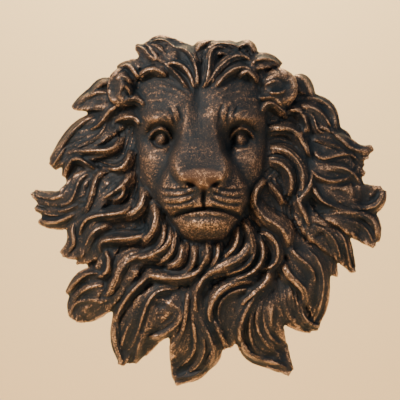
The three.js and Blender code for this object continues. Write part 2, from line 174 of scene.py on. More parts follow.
def to_object(name: str, corners: Array, faces: Sequence[Loop]) -> bpy.types.Object:
    """A mesh object from corners and faces.

    Args:
        name: The object's name.
        corners: Places in metres.
        faces: Corner numbers of each face.

    Returns:
        The object, in the scene, with its normals pointing outwards.
    """
    mesh = bpy.data.meshes.new(name)
    mesh.from_pydata(corners.tolist(), [], list(faces))
    shape = bmesh.new()
    shape.from_mesh(mesh)
    bmesh.ops.recalc_face_normals(shape, faces=shape.faces)
    shape.to_mesh(mesh)
    shape.free()
    thing = bpy.data.objects.new(name, mesh)
    bpy.context.collection.objects.link(thing)
    return thing


def table_rows(text: str) -> list[tuple[str, list[float]]]:
    """The rows of a table: the name and the numbers of each."""
    rows = (line.split() for line in text.strip().splitlines())
    return [(name, [float(number) for number in numbers]) for name, *numbers in rows]


@dataclass(frozen=True)
class Dome:
    """The surface that carries the locks, in mm off the wall."""

    half_width: float = 160.0
    half_height: float = 165.0
    middle_z: float = -5.0
    at_tips: float = 22.0
    crown: float = 44.0
    roundness: float = 0.8
    over_pot: float = 27.0
    pot_heights: Pair = (60.0, 130.0)
    pot_sides: Pair = (55.0, 125.0)

    def out(self, x: Array, z: Array) -> Array:
        """How far the dome stands off the wall at each place."""
        reach = (x / self.half_width) ** 2 + ((z - self.middle_z) / self.half_height) ** 2
        dome = self.crown * np.maximum(0.0, 1.0 - reach) ** self.roundness
        pot = smooth(*self.pot_heights, z) * (1.0 - smooth(*self.pot_sides, np.abs(x)))
        return self.at_tips + dome + self.over_pot * pot


@dataclass(frozen=True)
class Lock:
    """One lock of the mane, in mm on the wall plane."""

    name: str
    root: Pair
    tip: Pair
    width: float
    bow: float
    sway: float
    ride: float

    @property
    def length(self) -> float:
        """The straight way from root to tip."""
        return math.dist(self.root, self.tip)

    def middle(self, t: Array) -> tuple[Array, Array]:
        """The lock's middle line.

        Args:
            t: Shares of the way from root to tip.

        Returns:
            Places across and up, in mm.
        """
        dx = self.tip[0] - self.root[0]
        dz = self.tip[1] - self.root[1]
        off = 4.0 * self.bow * t * (1.0 - t) + self.sway * np.sin(2.0 * math.pi * t)
        x = self.root[0] + dx * t - dz / self.length * off
        z = self.root[1] + dz * t + dx / self.length * off
        return x, z


@dataclass
class LockCarver:
    """Sweeps locks over the dome. Sizes are in mm, and places on a lock are shares of its width or length."""

    dome: Dome = field(default_factory=Dome)
    row: float = 1.8
    fewest_rows: int = 16
    lane: float = 0.8
    fewest_lanes: int = 9
    root_share: float = 0.62
    belly: float = 0.42
    taper: float = 2.2
    blunt: float = 0.65
    end_share: float = 0.24
    rise_share: float = 0.42
    rise_least: float = 4.6
    rise_most: float = 10.0
    rooting: Pair = (-0.03, 0.32)
    root_sunk: float = 2.0
    crest_at: float = 0.62
    crest_width: float = 0.2
    crest_high: float = 0.66
    side_fall: float = 0.16
    rim_at: float = 0.8
    rim_width: float = 0.13
    line_high: float = 0.06
    line_soft: float = 0.02
    strand_width: float = 5.0
    strand_depth: float = 0.1
    strand_crisp: float = 0.8
    strand_drift: float = 0.1
    edge_at: float = 0.8
    edge_round: float = 1.6
    tip_back: float = 14.0
    foot_share: float = 0.5
    foot_inset: float = 0.86

    def share(self, t: Array) -> Array:
        """The lock's width along its length: narrow root, full belly, drawn-out tip."""
        root = self.root_share + (1.0 - self.root_share) * np.sin(math.pi / 2 * t / self.belly)
        past = np.maximum(0.0, t - self.belly) / (1.0 - self.belly)
        tip = np.clip(1.0 - past**self.taper, 0.0, 1.0) ** self.blunt
        return np.where(t < self.belly, root, np.maximum(self.end_share, tip))

    def line(self, away: Array, width: float) -> Array:
        """A thin raised line of height near 1, by how far each place is from it."""
        return np.exp(-np.sqrt((away / width) ** 2 + self.line_soft))

    def relief(self, lock: Lock, t: Array, across: Array, number: int) -> Array:
        """The carving across the lock: a proud crest, a slope fluted by strands, and a thin rim.

        Args:
            lock: The lock.
            t: Shares of the way from root to tip.
            across: Shares across it, -1 to 1.
            number: The lock's place in the mane, which shifts its strands against its neighbours'.

        Returns:
            The height as a share of the lock's rise, 0 along both edges.
        """
        outer = -1.0 if lock.bow + 0.5 * lock.sway < 0 else 1.0
        place = across * outer
        crest = self.line(place + self.crest_at, self.crest_width)
        rim = self.line(place - self.rim_at, self.rim_width)
        slope = self.crest_high - self.side_fall * (place + self.crest_at)
        strands = max(2, round(lock.width / self.strand_width))
        # The factors of the number only keep neighbouring locks from matching.
        drift = self.strand_drift * np.sin(2.0 * math.pi * t + number * 1.7)
        flute = np.abs(np.sin(math.pi / 2 * strands * (place + 1.0 + drift))) ** self.strand_crisp
        uneven = 0.6 + 0.4 * np.sin(number * 1.3 + 3.0 * place + 4.0 * t)
        fall = np.clip((np.abs(across) - self.edge_at) / (1.0 - self.edge_at), 0.0, 1.0) ** self.edge_round
        carved = slope + self.line_high * crest + self.line_high * rim - self.strand_depth * uneven * flute
        return carved * (1.0 - fall)

    def sweep(self, lock: Lock, number: int) -> tuple[Array, list[Loop]]:
        """One lock as a closed shell.

        Args:
            lock: The lock.
            number: Its place in the mane.

        Returns:
            Corners in metres, and faces.
        """
        t = np.linspace(0.0, 1.0, max(self.fewest_rows, int(lock.length / self.row)) + 1)
        lanes = max(self.fewest_lanes, int(lock.width / self.lane))
        across = np.sin(np.linspace(-math.pi / 2, math.pi / 2, lanes))
        x, z = lock.middle(t)
        share = self.share(t)
        half = lock.width / 2 * share
        rise = min(self.rise_most, max(self.rise_least, self.rise_share * lock.width))
        rooted = smooth(*self.rooting, t)[:, None]
        high = rise * np.sqrt(share)[:, None] * self.relief(lock, t[:, None], across, number)
        px, pz = beside(x, z, half, across)
        px, pz = drawn_in(px, pz, self.dome.out(px, pz))
        out = self.dome.out(px, pz) + rooted * (lock.ride + high) - self.root_sunk * (1.0 - rooted)
        fx, fz = beside(x, z, half, np.array([self.foot_inset, -self.foot_inset]))
        fx, fz = drawn_in(fx, fz, self.dome.out(fx, fz))
        foot = self.tip_back + lock.ride / 2 + self.foot_share * (self.dome.out(fx, fz) - self.dome.at_tips)
        top = np.stack([px, -out, pz], axis=-1)
        return link_tube(np.concatenate([top, np.stack([fx, -foot, fz], axis=-1)], axis=1))


@dataclass(frozen=True)
class Swell:
    """A soft rise or hollow of the face, in mm."""

    middle: Pair
    radii: Pair
    out: float

    def height(self, x: Array, z: Array) -> Array:
        """The swelling's height at each place."""
        return self.out * bell(x, z, self.middle, self.radii)


@dataclass(frozen=True)
class Stroke:
    """A carved ridge or groove along a bowed line, in mm."""

    start: Pair
    end: Pair
    bow: float
    width: float
    out: float

    def height(self, x: Array, z: Array) -> Array:
        """The stroke's height at each place, faded out over its two ends."""
        dx, dz = self.end[0] - self.start[0], self.end[1] - self.start[1]
        length = math.hypot(dx, dz)
        along = ((x - self.start[0]) * dx + (z - self.start[1]) * dz) / length**2
        across = (-(x - self.start[0]) * dz + (z - self.start[1]) * dx) / length
        line = 4.0 * self.bow * along * (1.0 - along)
        slope = 4.0 * self.bow * (1.0 - 2.0 * along) / length
        away = (across - line) / np.sqrt(1.0 + slope**2)
        return self.out * np.exp(-((away / self.width) ** 2)) * window(STROKE_START, STROKE_END, along)


@dataclass(frozen=True)
class Level:
    """A form of the face at one height: its middle, half width and depth, in mm."""

    z: float
    middle: float
    half: float
    out: float


def at_height(levels: Sequence[Level], z: Array) -> tuple[Array, Array, Array]:
    """The form between its levels, eased from each to the next.

    Args:
        levels: Levels from the highest down.
        z: Heights, in mm.

    Returns:
        Its middle, half width and depth at each height.
    """
    heights = np.array([level.z for level in levels])[::-1]
    values = np.array([(level.middle, level.half, level.out) for level in levels])[::-1]
    slopes = np.gradient(values, heights, axis=0)
    slopes[0] = slopes[-1] = 0.0
    place = np.clip(z, heights[0], heights[-1])
    after = np.clip(np.searchsorted(heights, place), 1, len(heights) - 1)
    before = after - 1
    gap = (heights[after] - heights[before])[..., None]
    t = (place - heights[before])[..., None] / gap
    rise = values[after] - values[before]
    start, end = slopes[before] * gap, slopes[after] * gap
    bend = t * (start + end - 2.0 * rise)
    eased = values[before] + t * (start + t * (3.0 * rise - 2.0 * start - end + bend))
    return eased[..., 0], eased[..., 1], eased[..., 2]


@dataclass
class Face:
    """The lion's face as a relief: its depth off the wall at each place."""

    step: float = 0.9
    edge_out: float = 44.0
    back: float = 30.0
    squareness: float = 3.0
    roundness: float = 0.6
    crowning: float = 0.12
    levels: tuple[Level, ...] = (
        Level(142.0, -3.0, 46.0, 50.0),
        Level(124.0, -3.0, 62.0, 66.0),
        Level(106.0, -2.0, 66.0, 77.0),
        Level(84.0, -1.0, 66.0, 84.0),
        Level(60.0, -1.0, 66.0, 80.0),
        Level(36.0, -1.0, 64.0, 79.0),
        Level(22.0, -1.0, 62.0, 80.0),
        Level(9.0, -1.0, 56.0, 81.0),
        Level(-6.0, 1.0, 46.0, 82.0),
        Level(-26.0, 2.5, 32.0, 79.0),
        Level(-37.0, 2.5, 26.0, 67.0),
        Level(-48.0, 2.5, 15.0, 46.0),
    )
    eyes: tuple[Pair, ...] = ((-40.0, 59.5), (37.6, 59.5))
    ball: float = 5.5
    ball_rise: float = 8.5
    ring_at: float = 7.4
    ring_width: float = 1.8
    ring_deep: float = 2.8
    leather_arch: float = 0.0105
    swells: tuple[Swell, ...] = (
        # Brows
        Swell((-45.0, 78.0), (13.0, 7.5), 8.0),
        Swell((43.0, 79.0), (14.0, 7.5), 8.0),
        # Frown
        Swell((-26.0, 84.0), (9.0, 12.0), 4.5),
        Swell((21.0, 84.0), (9.0, 12.0), 4.5),
        # Forehead
        Swell((-20.0, 102.0), (12.0, 14.0), 3.0),
        Swell((14.0, 102.0), (12.0, 14.0), 3.0),
        # Cheekbones
        Swell((-51.0, 37.0), (13.0, 15.0), 3.5),
        Swell((49.0, 37.0), (13.0, 15.0), 5.0),
        # Whisker pads
        Swell((-21.0, 5.0), (16.0, 12.0), 8.0),
        Swell((22.0, 5.0), (16.0, 12.0), 8.0),
        # Sides of the nose
        Swell((-25.0, 26.0), (10.0, 12.0), 5.0),
        Swell((24.0, 26.0), (10.0, 12.0), 5.0),
        # Chin
        Swell((2.5, -22.5), (23.0, 11.0), 13.0),
        # Sockets
        Swell((-40.0, 60.0), (14.5, 10.5), -13.0),
        Swell((37.6, 60.0), (14.5, 10.5), -13.0),
        # Inner corners of the eyes
        Swell((-28.0, 55.0), (6.0, 12.0), -8.0),
        Swell((27.0, 54.0), (6.0, 12.0), -9.0),
        # Furrow of the forehead
        Swell((-3.5, 94.0), (6.5, 22.0), -3.4),
    )
    strokes: tuple[Stroke, ...] = (
        # Upper lids
        Stroke((-53.0, 59.5), (-28.5, 57.5), 9.8, 1.7, 6.2),
        Stroke((26.0, 57.5), (51.5, 60.5), 9.8, 1.7, 6.2),
        # Lower lids
        Stroke((-50.0, 53.0), (-31.0, 52.0), -3.6, 2.2, 1.8),
        Stroke((29.0, 52.0), (48.5, 54.0), -3.6, 2.2, 1.8),
        # Creases over the lids
        Stroke((-54.0, 65.0), (-27.0, 64.0), 8.6, 2.1, -4.6),
        Stroke((25.0, 64.5), (52.0, 66.0), 8.6, 2.1, -4.6),
        # Brow ridges
        Stroke((-47.0, 86.0), (-29.0, 74.0), 3.0, 1.4, 2.0),
        Stroke((27.0, 74.0), (44.0, 87.0), 3.0, 1.4, 2.0),
        # Frown lines
        Stroke((-33.0, 88.0), (-27.0, 73.0), 1.4, 1.4, -2.4),
        Stroke((-24.0, 90.0), (-20.0, 74.0), 1.4, 1.4, -2.2),
        Stroke((28.0, 90.0), (24.0, 74.0), -1.4, 1.4, -2.4),
        Stroke((20.0, 92.0), (17.0, 75.0), -1.4, 1.4, -2.2),
        Stroke((35.0, 90.0), (31.0, 76.0), -1.4, 1.3, -1.8),
        # Whisker grooves, left
        Stroke((-39.0, 11.0), (-8.0, 13.5), -2.6, 1.2, -3.0),
        Stroke((-40.0, 4.0), (-6.5, 8.0), -3.0, 1.2, -3.4),
        Stroke((-39.0, -3.0), (-5.5, 2.5), -3.4, 1.2, -3.4),
        Stroke((-34.0, -9.0), (-6.0, -3.5), -3.0, 1.2, -2.8),
        # Whisker grooves, right
        Stroke((10.0, 13.5), (40.0, 11.0), -2.6, 1.2, -3.0),
        Stroke((9.0, 8.0), (41.0, 4.0), -3.0, 1.2, -3.4),
        Stroke((8.5, 2.0), (40.0, -3.0), -3.2, 1.2, -3.4),
        Stroke((9.0, -4.0), (36.0, -9.0), -2.8, 1.2, -2.8),
        # Cheek folds
        Stroke((-63.0, 27.0), (-41.0, -4.0), -3.0, 2.0, 3.6),
        Stroke((62.0, 26.0), (42.0, -4.0), 3.0, 2.0, 3.6),
        # Cleft of the lip
        Stroke((1.2, 13.0), (1.6, -9.0), 0.0, 1.8, -7.0),
        # Forehead tufts, left
        Stroke((-6.0, 100.0), (-24.0, 124.0), -3.0, 1.3, 1.1),
        Stroke((-8.0, 98.0), (-36.0, 118.0), -3.4, 1.3, 1.1),
        Stroke((-12.0, 97.0), (-46.0, 111.0), -3.4, 1.2, 1.0),
        Stroke((-22.0, 98.0), (-54.0, 103.0), -3.0, 1.2, 1.0),
        Stroke((-34.0, 95.0), (-60.0, 94.0), -2.6, 1.2, 1.0),
        Stroke((-16.0, 108.0), (-30.0, 124.0), -2.0, 1.0, 0.8),
        Stroke((-26.0, 106.0), (-46.0, 117.0), -2.0, 1.0, 0.8),
        Stroke((-36.0, 104.0), (-58.0, 109.0), -2.0, 1.0, 0.8),
        Stroke((-46.0, 90.0), (-63.0, 86.0), -2.0, 1.0, 0.8),
        # Forehead tufts, right
        Stroke((0.0, 100.0), (16.0, 124.0), 3.0, 1.3, 1.1),
        Stroke((3.0, 98.0), (29.0, 118.0), 3.4, 1.3, 1.1),
        Stroke((7.0, 97.0), (40.0, 111.0), 3.4, 1.2, 1.0),
        Stroke((16.0, 98.0), (49.0, 104.0), 3.0, 1.2, 1.0),
        Stroke((30.0, 96.0), (57.0, 96.0), 2.6, 1.2, 1.0),
        Stroke((11.0, 108.0), (25.0, 124.0), 2.0, 1.0, 0.8),
        Stroke((21.0, 106.0), (42.0, 117.0), 2.0, 1.0, 0.8),
        Stroke((33.0, 104.0), (54.0, 110.0), 2.0, 1.0, 0.8),
        Stroke((43.0, 91.0), (60.0, 88.0), 2.0, 1.0, 0.8),
    )
    bridge: tuple[Level, ...] = (
        Level(104.0, -3.0, 12.0, 0.0),
        Level(80.0, -2.0, 16.0, 5.0),
        Level(62.0, -3.0, 20.5, 13.0),
        Level(46.0, -3.5, 25.0, 19.0),
        Level(36.0, -2.0, 27.5, 21.0),
        Level(26.0, -1.0, 26.0, 20.0),
        Level(14.0, 0.0, 19.0, 10.0),
        Level(2.0, 0.5, 12.0, 0.0),
    )
    shoulder: float = 4.5
    muzzle: tuple[Level, ...] = (
        Level(60.0, -2.0, 22.0, 0.0),
        Level(42.0, -1.0, 29.0, 4.0),
        Level(28.0, -0.5, 35.0, 9.0),
        Level(14.0, 0.5, 40.5, 13.0),
        Level(0.0, 0.8, 40.5, 14.5),
        Level(-10.0, 1.5, 37.0, 11.0),
        Level(-18.0, 2.0, 32.0, 0.0),
    )
    muzzle_edge: float = 5.0
    leather: tuple[Level, ...] = (
        Level(31.5, -0.8, 19.5, 0.0),
        Level(28.5, -0.8, 21.0, 2.8),
        Level(24.0, -0.6, 20.5, 4.4),
        Level(19.5, 0.0, 13.5, 5.8),
        Level(14.5, 0.8, 7.0, 6.2),
        Level(7.0, 1.0, 2.5, 0.0),
    )
    leather_edge: float = 1.5
    nostrils: tuple[Swell, ...] = (
        Swell((-11.0, 15.5), (5.0, 2.8), -9.0),
        Swell((11.5, 15.8), (5.0, 2.8), -9.0),
    )
    mouth: Level = Level(-8.5, 4.0, 33.0, -11.0)
    mouth_fall: float = 0.0066
    mouth_width: float = 2.3
    mouth_fade: Pair = (-6.0, 3.0)

    def raised(self, levels: Sequence[Level], x: Array, z: Array, edge: float) -> Array:
        """A form that stands out between two sides, rounded off along them.

        Args:
            levels: Its middle, half width and height at some heights.
            x: Places across, in mm.
            z: Places up, in mm.
            edge: How wide its rounded side is, in mm.

        Returns:
            Its height at each place, in mm.
        """
        middle, half, rise = at_height(levels, z)
        past = np.abs(x - middle) - half
        crown = 1.0 - self.crowning * np.clip(np.abs(x - middle) / half, 0.0, 1.0) ** 2
        return rise * crown * (1.0 - smooth(-edge, edge, past))

    def tip(self, x: Array, z: Array) -> Array:
        """How far the nose leather stands out at each place, its top edge arched."""
        return self.raised(self.leather, x, z + self.leather_arch * x**2, self.leather_edge)

    def holds(self, x: Array, z: Array) -> Array:
        """Whether each place lies within the face's outline."""
        middle, half, _ = at_height(self.levels, z)
        return (np.abs(x - middle) < half) & (z > self.levels[-1].z) & (z < self.levels[0].z)

    def out(self, x: Array, z: Array) -> Array:
        """How far the face stands off the wall at each place."""
        middle, half, deep = at_height(self.levels, z)
        across = np.abs(x - middle) / half
        bulge = np.maximum(0.0, 1.0 - across**self.squareness) ** self.roundness
        out = self.edge_out + (deep - self.edge_out) * bulge
        for swell in self.swells + self.nostrils:
            out = out + swell.height(x, z)
        out = out + self.raised(self.bridge, x, z, self.shoulder)
        out = out + self.raised(self.muzzle, x, z, self.muzzle_edge)
        out = out + self.tip(x, z)
        for eye in self.eyes:
            away = np.hypot(x - eye[0], z - eye[1])
            out = out + self.ball_rise * bell(x, z, eye, (self.ball, self.ball))
            out = out - self.ring_deep * np.exp(-(((away - self.ring_at) / self.ring_width) ** 2))
        for stroke in self.strokes:
            out = out + stroke.height(x, z)
        lip = z - (self.mouth.z - self.mouth_fall * (x - self.mouth.middle) ** 2)
        past = np.abs(x - self.mouth.middle) - self.mouth.half
        side = 1.0 - smooth(*self.mouth_fade, past)
        return out + self.mouth.out * np.exp(-((lip / self.mouth_width) ** 2)) * side

    def shell(self) -> tuple[Array, list[Loop]]:
        """The face as a closed block whose back is buried in the dome: corners in metres, and faces."""
        top, foot = self.levels[0].z, self.levels[-1].z
        widest = max(level.half for level in self.levels)
        heights = np.arange(foot, top + self.step, self.step)[::-1]
        shares = np.linspace(-1.0, 1.0, int(2 * widest / self.step))
        z, share = np.meshgrid(heights, shares, indexing="ij")
        middle, half, _ = at_height(self.levels, z)
        x = middle + half * share
        front = np.stack([x, -self.out(x, z), z], axis=-1)
        back = front[:, [-1, 0], :].copy()
        back[..., 1] = -self.back
        return link_tube(np.concatenate([front, back], axis=1))


# Each row: name, root x and z, tip x and z, width, bow, sway and ride, in mm.
LOCKS = tuple(
    Lock(name, (rx, rz), (tx, tz), width, bow, sway, ride)
    for name, (rx, rz, tx, tz, width, bow, sway, ride) in table_rows(
        """
        top_tuft -6.5 134 9 158 13 2 0 0
        top_left_out -15 138 -45 162 18 -6 0 0
        top_left_arch -5 114 -36 150 12 -12 0 0.5
        top_left_hook -25 131 -66 154 13 3 -2 1
        top_left_low -32 121 -73 138 13 -4 0 0
        top_left_mid -24 129 -55 160 27 0 0 0
        ear_left_over -50 133 -79 134 11 -3 0 0
        top_right_arch 3 141 41 148 12 7 0 1
        top_right_out 25 134 49 154 14 5 0 0
        top_right_mid 15 127 50 140 11 5 0 0.5
        ear_right_over 36 129 78 136 16 5 0 0
        ear_right_back 86 120 110 101 16 5 0 0
        ear_left_back -86 110 -120 103 14 -4 0 -2
        left_one -82 96 -130 92 20 -4 0 1
        left_two -80 82 -152 34 30 -3 0 0
        left_two_low -82 62 -142 34 12 3 3 0
        left_three -102 30 -172 7 18 12 -6 1
        left_four -110 10 -164 -21 18 12 -3 0
        left_three_low -104 14 -168 -9 28 5 0 0
        left_five -74 32 -141 -54 22 -3 -4 0.5
        left_six -90 -16 -140 -56 20 0 -6 1
        left_six_low -90 -28 -126 -64 14 5 0 0
        left_seven -84 -40 -130 -90 14 8 -3 0.5
        left_seven_tip -94 -76 -129 -120 25 -4 0 1
        left_seven_end -80 -88 -126 -121 22 2 0 0
        left_eight -60 -56 -96 -102 22 0 -2 0.5
        left_nine -26 -86 -81 -166 35 -11 0 1
        left_nine_lobe -18 -92 -52 -134 24 4 0 0.5
        left_nine_low -34 -122 -74 -164 14 2 0 -3
        low_one 2 -78 -27 -184 24 16 -9 0.5
        low_one_left -12 -88 -27 -180 31 3 0 0
        low_two 56 -80 24 -150 14 -22 0 0.5
        low_two_in 48 -88 30 -148 18 -8 0 0
        low_three 66 -78 89 -174 28 -21 3 1
        low_three_right 78 -85 90 -168 22 -13 0 0
        low_four 74 -80 110 -131 29 -6 0 0
        low_five 88 -40 115 -124 32 9 0 1
        low_five_in 90 -88 112 -122 15 0 0 -3
        right_one 98 0 152 -73 26 -2 -4 1
        right_one_low 108 -40 136 -77 18 0 0 -3
        right_two 114 -5 173 -47 26 6 0 1
        right_three 106 22 181 12 28 -15 -2 0.5
        right_four 102 40 158 19 20 -5 0 1
        right_five 106 72 170 53 18 -9 2 1
        right_five_low 106 56 164 26 24 -3 0 0
        right_five_mid 112 66 167 43 26 -2 0 0
        right_five_back 123 70 150 57 14 3 0 -4
        right_six 94 100 132 66 22 6 0 1
        """
    )
)


@dataclass(frozen=True)
class Crest:
    """A raised rope of hair, by the four places that it passes, in mm on the wall plane."""

    name: str
    places: tuple[Pair, ...]
    width: float
    ride: float = 0.0

    def middle(self, t: Array) -> tuple[Array, Array]:
        """The rope's middle line: an even curve through its four places."""
        shares = (
            -4.5 * (t - 1 / 3) * (t - 2 / 3) * (t - 1.0),
            13.5 * t * (t - 2 / 3) * (t - 1.0),
            -13.5 * t * (t - 1 / 3) * (t - 1.0),
            4.5 * t * (t - 1 / 3) * (t - 2 / 3),
        )
        x = sum(share * place[0] for share, place in zip(shares, self.places))
        z = sum(share * place[1] for share, place in zip(shares, self.places))
        return x, z


# Each row: name, x and z of four places, width and, for some, how far it rides up, in mm.
CRESTS = tuple(
    Crest(name, tuple(zip(numbers[0:8:2], numbers[1:8:2])), *numbers[8:])
    for name, numbers in table_rows(
        """
        left_three_rim -134 10 -144 3 -156 3 -169 7 5.5
        left_three_rope -110 25 -123 16 -129 0 -150 -5 6
        left_three_low -120 -4 -128 -7 -136 -10 -146 -11 4
        left_four_rim -126 -12 -136 -18 -148 -22 -162 -20 5.5
        left_five_rope -92 30 -105 20 -110 2 -122 -17 6 1
        left_five_edge -124 -18 -129 -32 -128 -42 -138 -55 5
        left_leaf_crest -71 29 -77 16 -87 8 -101 -3 7
        left_leaf_low -78 13 -79 6 -84 1 -91 -1 4
        left_two_rope -83 63 -95 50 -120 49 -136 42 5.5
        left_two_hook -70 49 -76 36 -84 31 -95 32 5.5
        left_two_under -105 31 -117 38 -128 41 -138 23 4.5
        left_two_top -104 83 -122 75 -137 58 -150 38 5.5
        left_two_fold -82 94 -94 87 -101 77 -115 69 6.5
        left_two_inner -94 79 -102 66 -114 58 -132 51 5
        left_two_tip -134 53 -140 47 -144 40 -150 33 6
        left_one_rim -90 104 -104 107 -116 102 -128 92 5.5
        left_one_top -89 116 -98 117 -106 111 -113 102 5.5
        cheek_left_rope -57 13 -60 -3 -68 -12 -79 -16 6.5
        left_six_rope -67 0 -88 -14 -112 -18 -121 -43 7 1.5
        left_six_inner -91 -25 -103 -29 -111 -37 -116 -50 6
        left_seven_root -50 0 -46 -20 -52 -34 -62 -42 7.5
        left_seven_rope -55 -32 -74 -38 -98 -41 -96 -58 6.5
        left_seven_turn -97 -48 -93 -60 -95 -71 -106 -77 5.5 1
        left_seven_rim -98 -75 -112 -73 -123 -79 -135 -94 4.5
        left_seven_inner -95 -83 -109 -86 -122 -92 -132 -109 6
        left_eight_root -32 -28 -35 -44 -48 -54 -67 -59 7.5
        left_eight_rope -55 -56 -76 -61 -86 -79 -99 -100 9
        left_eight_rim -88 -97 -105 -101 -122 -102 -130 -117 6
        left_nine_root 3 -61 -12 -75 -36 -77 -57 -74 7
        left_nine_rope -51 -73 -65 -86 -80 -105 -85 -131 5.5
        left_nine_edge -84 -118 -86 -136 -82 -152 -78 -164 5.5
        left_nine_inner -24 -89 -50 -96 -60 -120 -71 -147 6.5
        left_nine_line -65 -107 -71 -122 -78 -140 -79 -158 5
        left_nine_lobe -30 -102 -21 -116 -35 -131 -56 -137 5.5
        left_nine_end -52 -134 -62 -143 -65 -153 -69 -163 5
        low_one_left -12 -89 -16 -109 -19 -128 -30 -145 5.5
        low_one_mid -8 -98 -9 -120 -7 -141 -13 -159 4.5
        low_one_inner -4 -126 2 -144 -3 -162 -17 -173 4.5
        low_one_root 22 -69 1 -79 -7 -98 -4 -119 6.5
        low_one_rope -6 -111 5 -133 11 -152 1 -167 7.5
        low_one_rim 9 -156 -3 -172 -15 -176 -29 -179 5.5
        beard_right_rim 47 -36 39 -56 20 -66 1 -79 9
        beard_right_edge 57 -36 60 -58 48 -73 25 -80 4.5
        beard_right_mid 51 -38 50 -58 38 -69 20 -74 4.5
        low_hook 58 -32 73 -42 75 -59 61 -69 5.5
        low_two_rope 55 -80 24 -87 8 -106 13 -126 6.5
        low_two_end 11 -117 16 -128 21 -138 24 -148 5
        low_two_inner 50 -89 25 -95 16 -112 25 -137 4.5
        low_two_root 67 -67 62 -84 50 -94 37 -109 6.5
        low_three_rim 60 -88 47 -105 38 -126 40 -143 6.5
        low_three_foot 39 -135 50 -155 70 -161 89 -172 6.5
        low_three_line 61 -98 55 -122 64 -143 86 -155 5
        low_three_mid 53 -107 47 -130 54 -150 74 -157 4.5
        low_three_right 67 -100 63 -121 71 -138 86 -148 4.5
        right_nine_rope 83 -60 90 -78 102 -90 99 -110 9
        right_nine_rim 89 -45 97 -58 109 -69 110 -92 5.5
        right_nine_edge 103 -50 117 -65 120 -90 110 -118 6.5
        right_nine_tip 97 -105 102 -118 109 -124 118 -127 5.5
        right_nine_low 81 -90 83 -106 90 -119 104 -129 4.5
        brow_right_arc 58 85 67 96 77 91 86 84 4.5
        right_two_arc 84 86 96 89 103 79 104 64 5.5
        right_three_rope 65 69 88 70 100 59 108 41 6.5
        right_four_rope 67 38 81 35 89 22 87 4 6.5
        right_five_rope 69 50 90 44 101 23 95 3 7.5
        right_five_turn 96 10 97 -4 103 -16 107 -29 6
        right_five_side 109 29 106 12 98 1 99 -11 5
        cheek_right_rope 56 1 62 -16 79 -27 86 -49 9.5
        cheek_right_side 63 21 55 11 52 0 57 -13 4.5
        cheek_right_thin 68 17 72 11 77 5 81 -4 3.5
        right_eight_rope 106 -27 121 -30 132 -42 137 -63 7
        right_eight_edge 128 -31 141 -39 146 -56 151 -70 5.5
        right_seven_rope 123 -13 148 -12 168 -20 174 -42 7.5
        right_seven_line 128 -21 148 -22 162 -29 170 -45 5
        right_six_rope 111 18 118 1 134 -8 151 -10 5.5
        right_six_tip 142 -3 163 -8 177 -2 182 10 6.5
        right_five_leaf 108 33 118 22 134 19 151 26 5.5
        right_five_top 117 30 136 32 150 26 159 12 5.5
        right_four_leaf 111 51 124 42 142 46 160 32 5.5
        right_three_leaf 107 71 130 67 148 52 171 53 5.5
        right_three_line 110 61 124 57 138 52 150 42 4.5
        right_two_leaf 95 93 110 91 121 83 129 69 7.5
        right_two_edge 99 102 118 99 130 88 133 68 5
        right_two_line 102 87 111 81 114 71 125 66 4.5
        crown_right_main -1 109 7 130 10 150 30 149 6.5
        crown_right_top 4 147 12 155 25 156 39 150 6
        crown_middle -5 145 -3 153 3 158 10 160 5
        crown_left_main -5 109 -6 133 -15 149 -32 150 6.5
        crown_left_top -22 149 -31 155 -39 161 -51 158 6.5
        crown_left_fold -38 137 -46 143 -52 151 -58 158 4.5
        crown_left_under -34 143 -40 149 -46 154 -54 156 4
        crown_left_hook -38 148 -48 141 -56 148 -67 154 5.5
        crown_left_arc -8 108 -13 126 -24 136 -39 134 5
        crown_left_thin -14 109 -22 120 -30 129 -38 135 3.5
        temple_left_arc -35 122 -43 129 -54 129 -63 121 5
        ear_left_top -63 121 -68 129 -74 134 -84 130 5
        ear_left_low -56 92 -64 100 -73 100 -83 92 5
        brow_left_arc -62 72 -67 81 -78 82 -87 78 5
        crown_right_two 6 111 19 133 36 143 50 137 5.5
        crown_right_three 13 110 24 125 38 132 51 128 5
        crown_right_four 36 120 42 127 49 126 54 117 4.5
        crown_right_curl 33 148 40 155 47 155 52 145 5.5
        crown_right_far 49 131 55 140 66 141 79 134 5
        ear_right_back 94 123 102 120 107 111 110 101 5
        beard_one 4 -42 5 -52 2 -62 -5 -69 7
        beard_two 36 -27 35 -40 30 -50 19 -59 5
        beard_three -19 -42 -20 -54 -25 -63 -38 -67 6.5
        beard_four -7 -46 -8 -59 -13 -69 -24 -74 5
        beard_five 15 -43 16 -52 13 -61 6 -68 5
        beard_six 40 -21 47 -31 50 -45 45 -57 6
        beard_left_side -39 -21 -38 -36 -44 -47 -57 -54 4.5
        beard_left_two -28 -29 -28 -44 -34 -56 -46 -62 5
        temple_right_one 56 103 64 102 72 102 80 95 4
        ear_left_tuft -82 121 -78 122 -74 120 -71 115 3.5 4
        ear_left_tuft_low -81 113 -77 114 -73 110 -70 104 3.5 4
        ear_right_fur 63 113 69 118 76 119 82 114 3.5 -0.5
        ear_right_lip 66 108 72 106 79 107 86 111 3.5 5
        """
    )
)


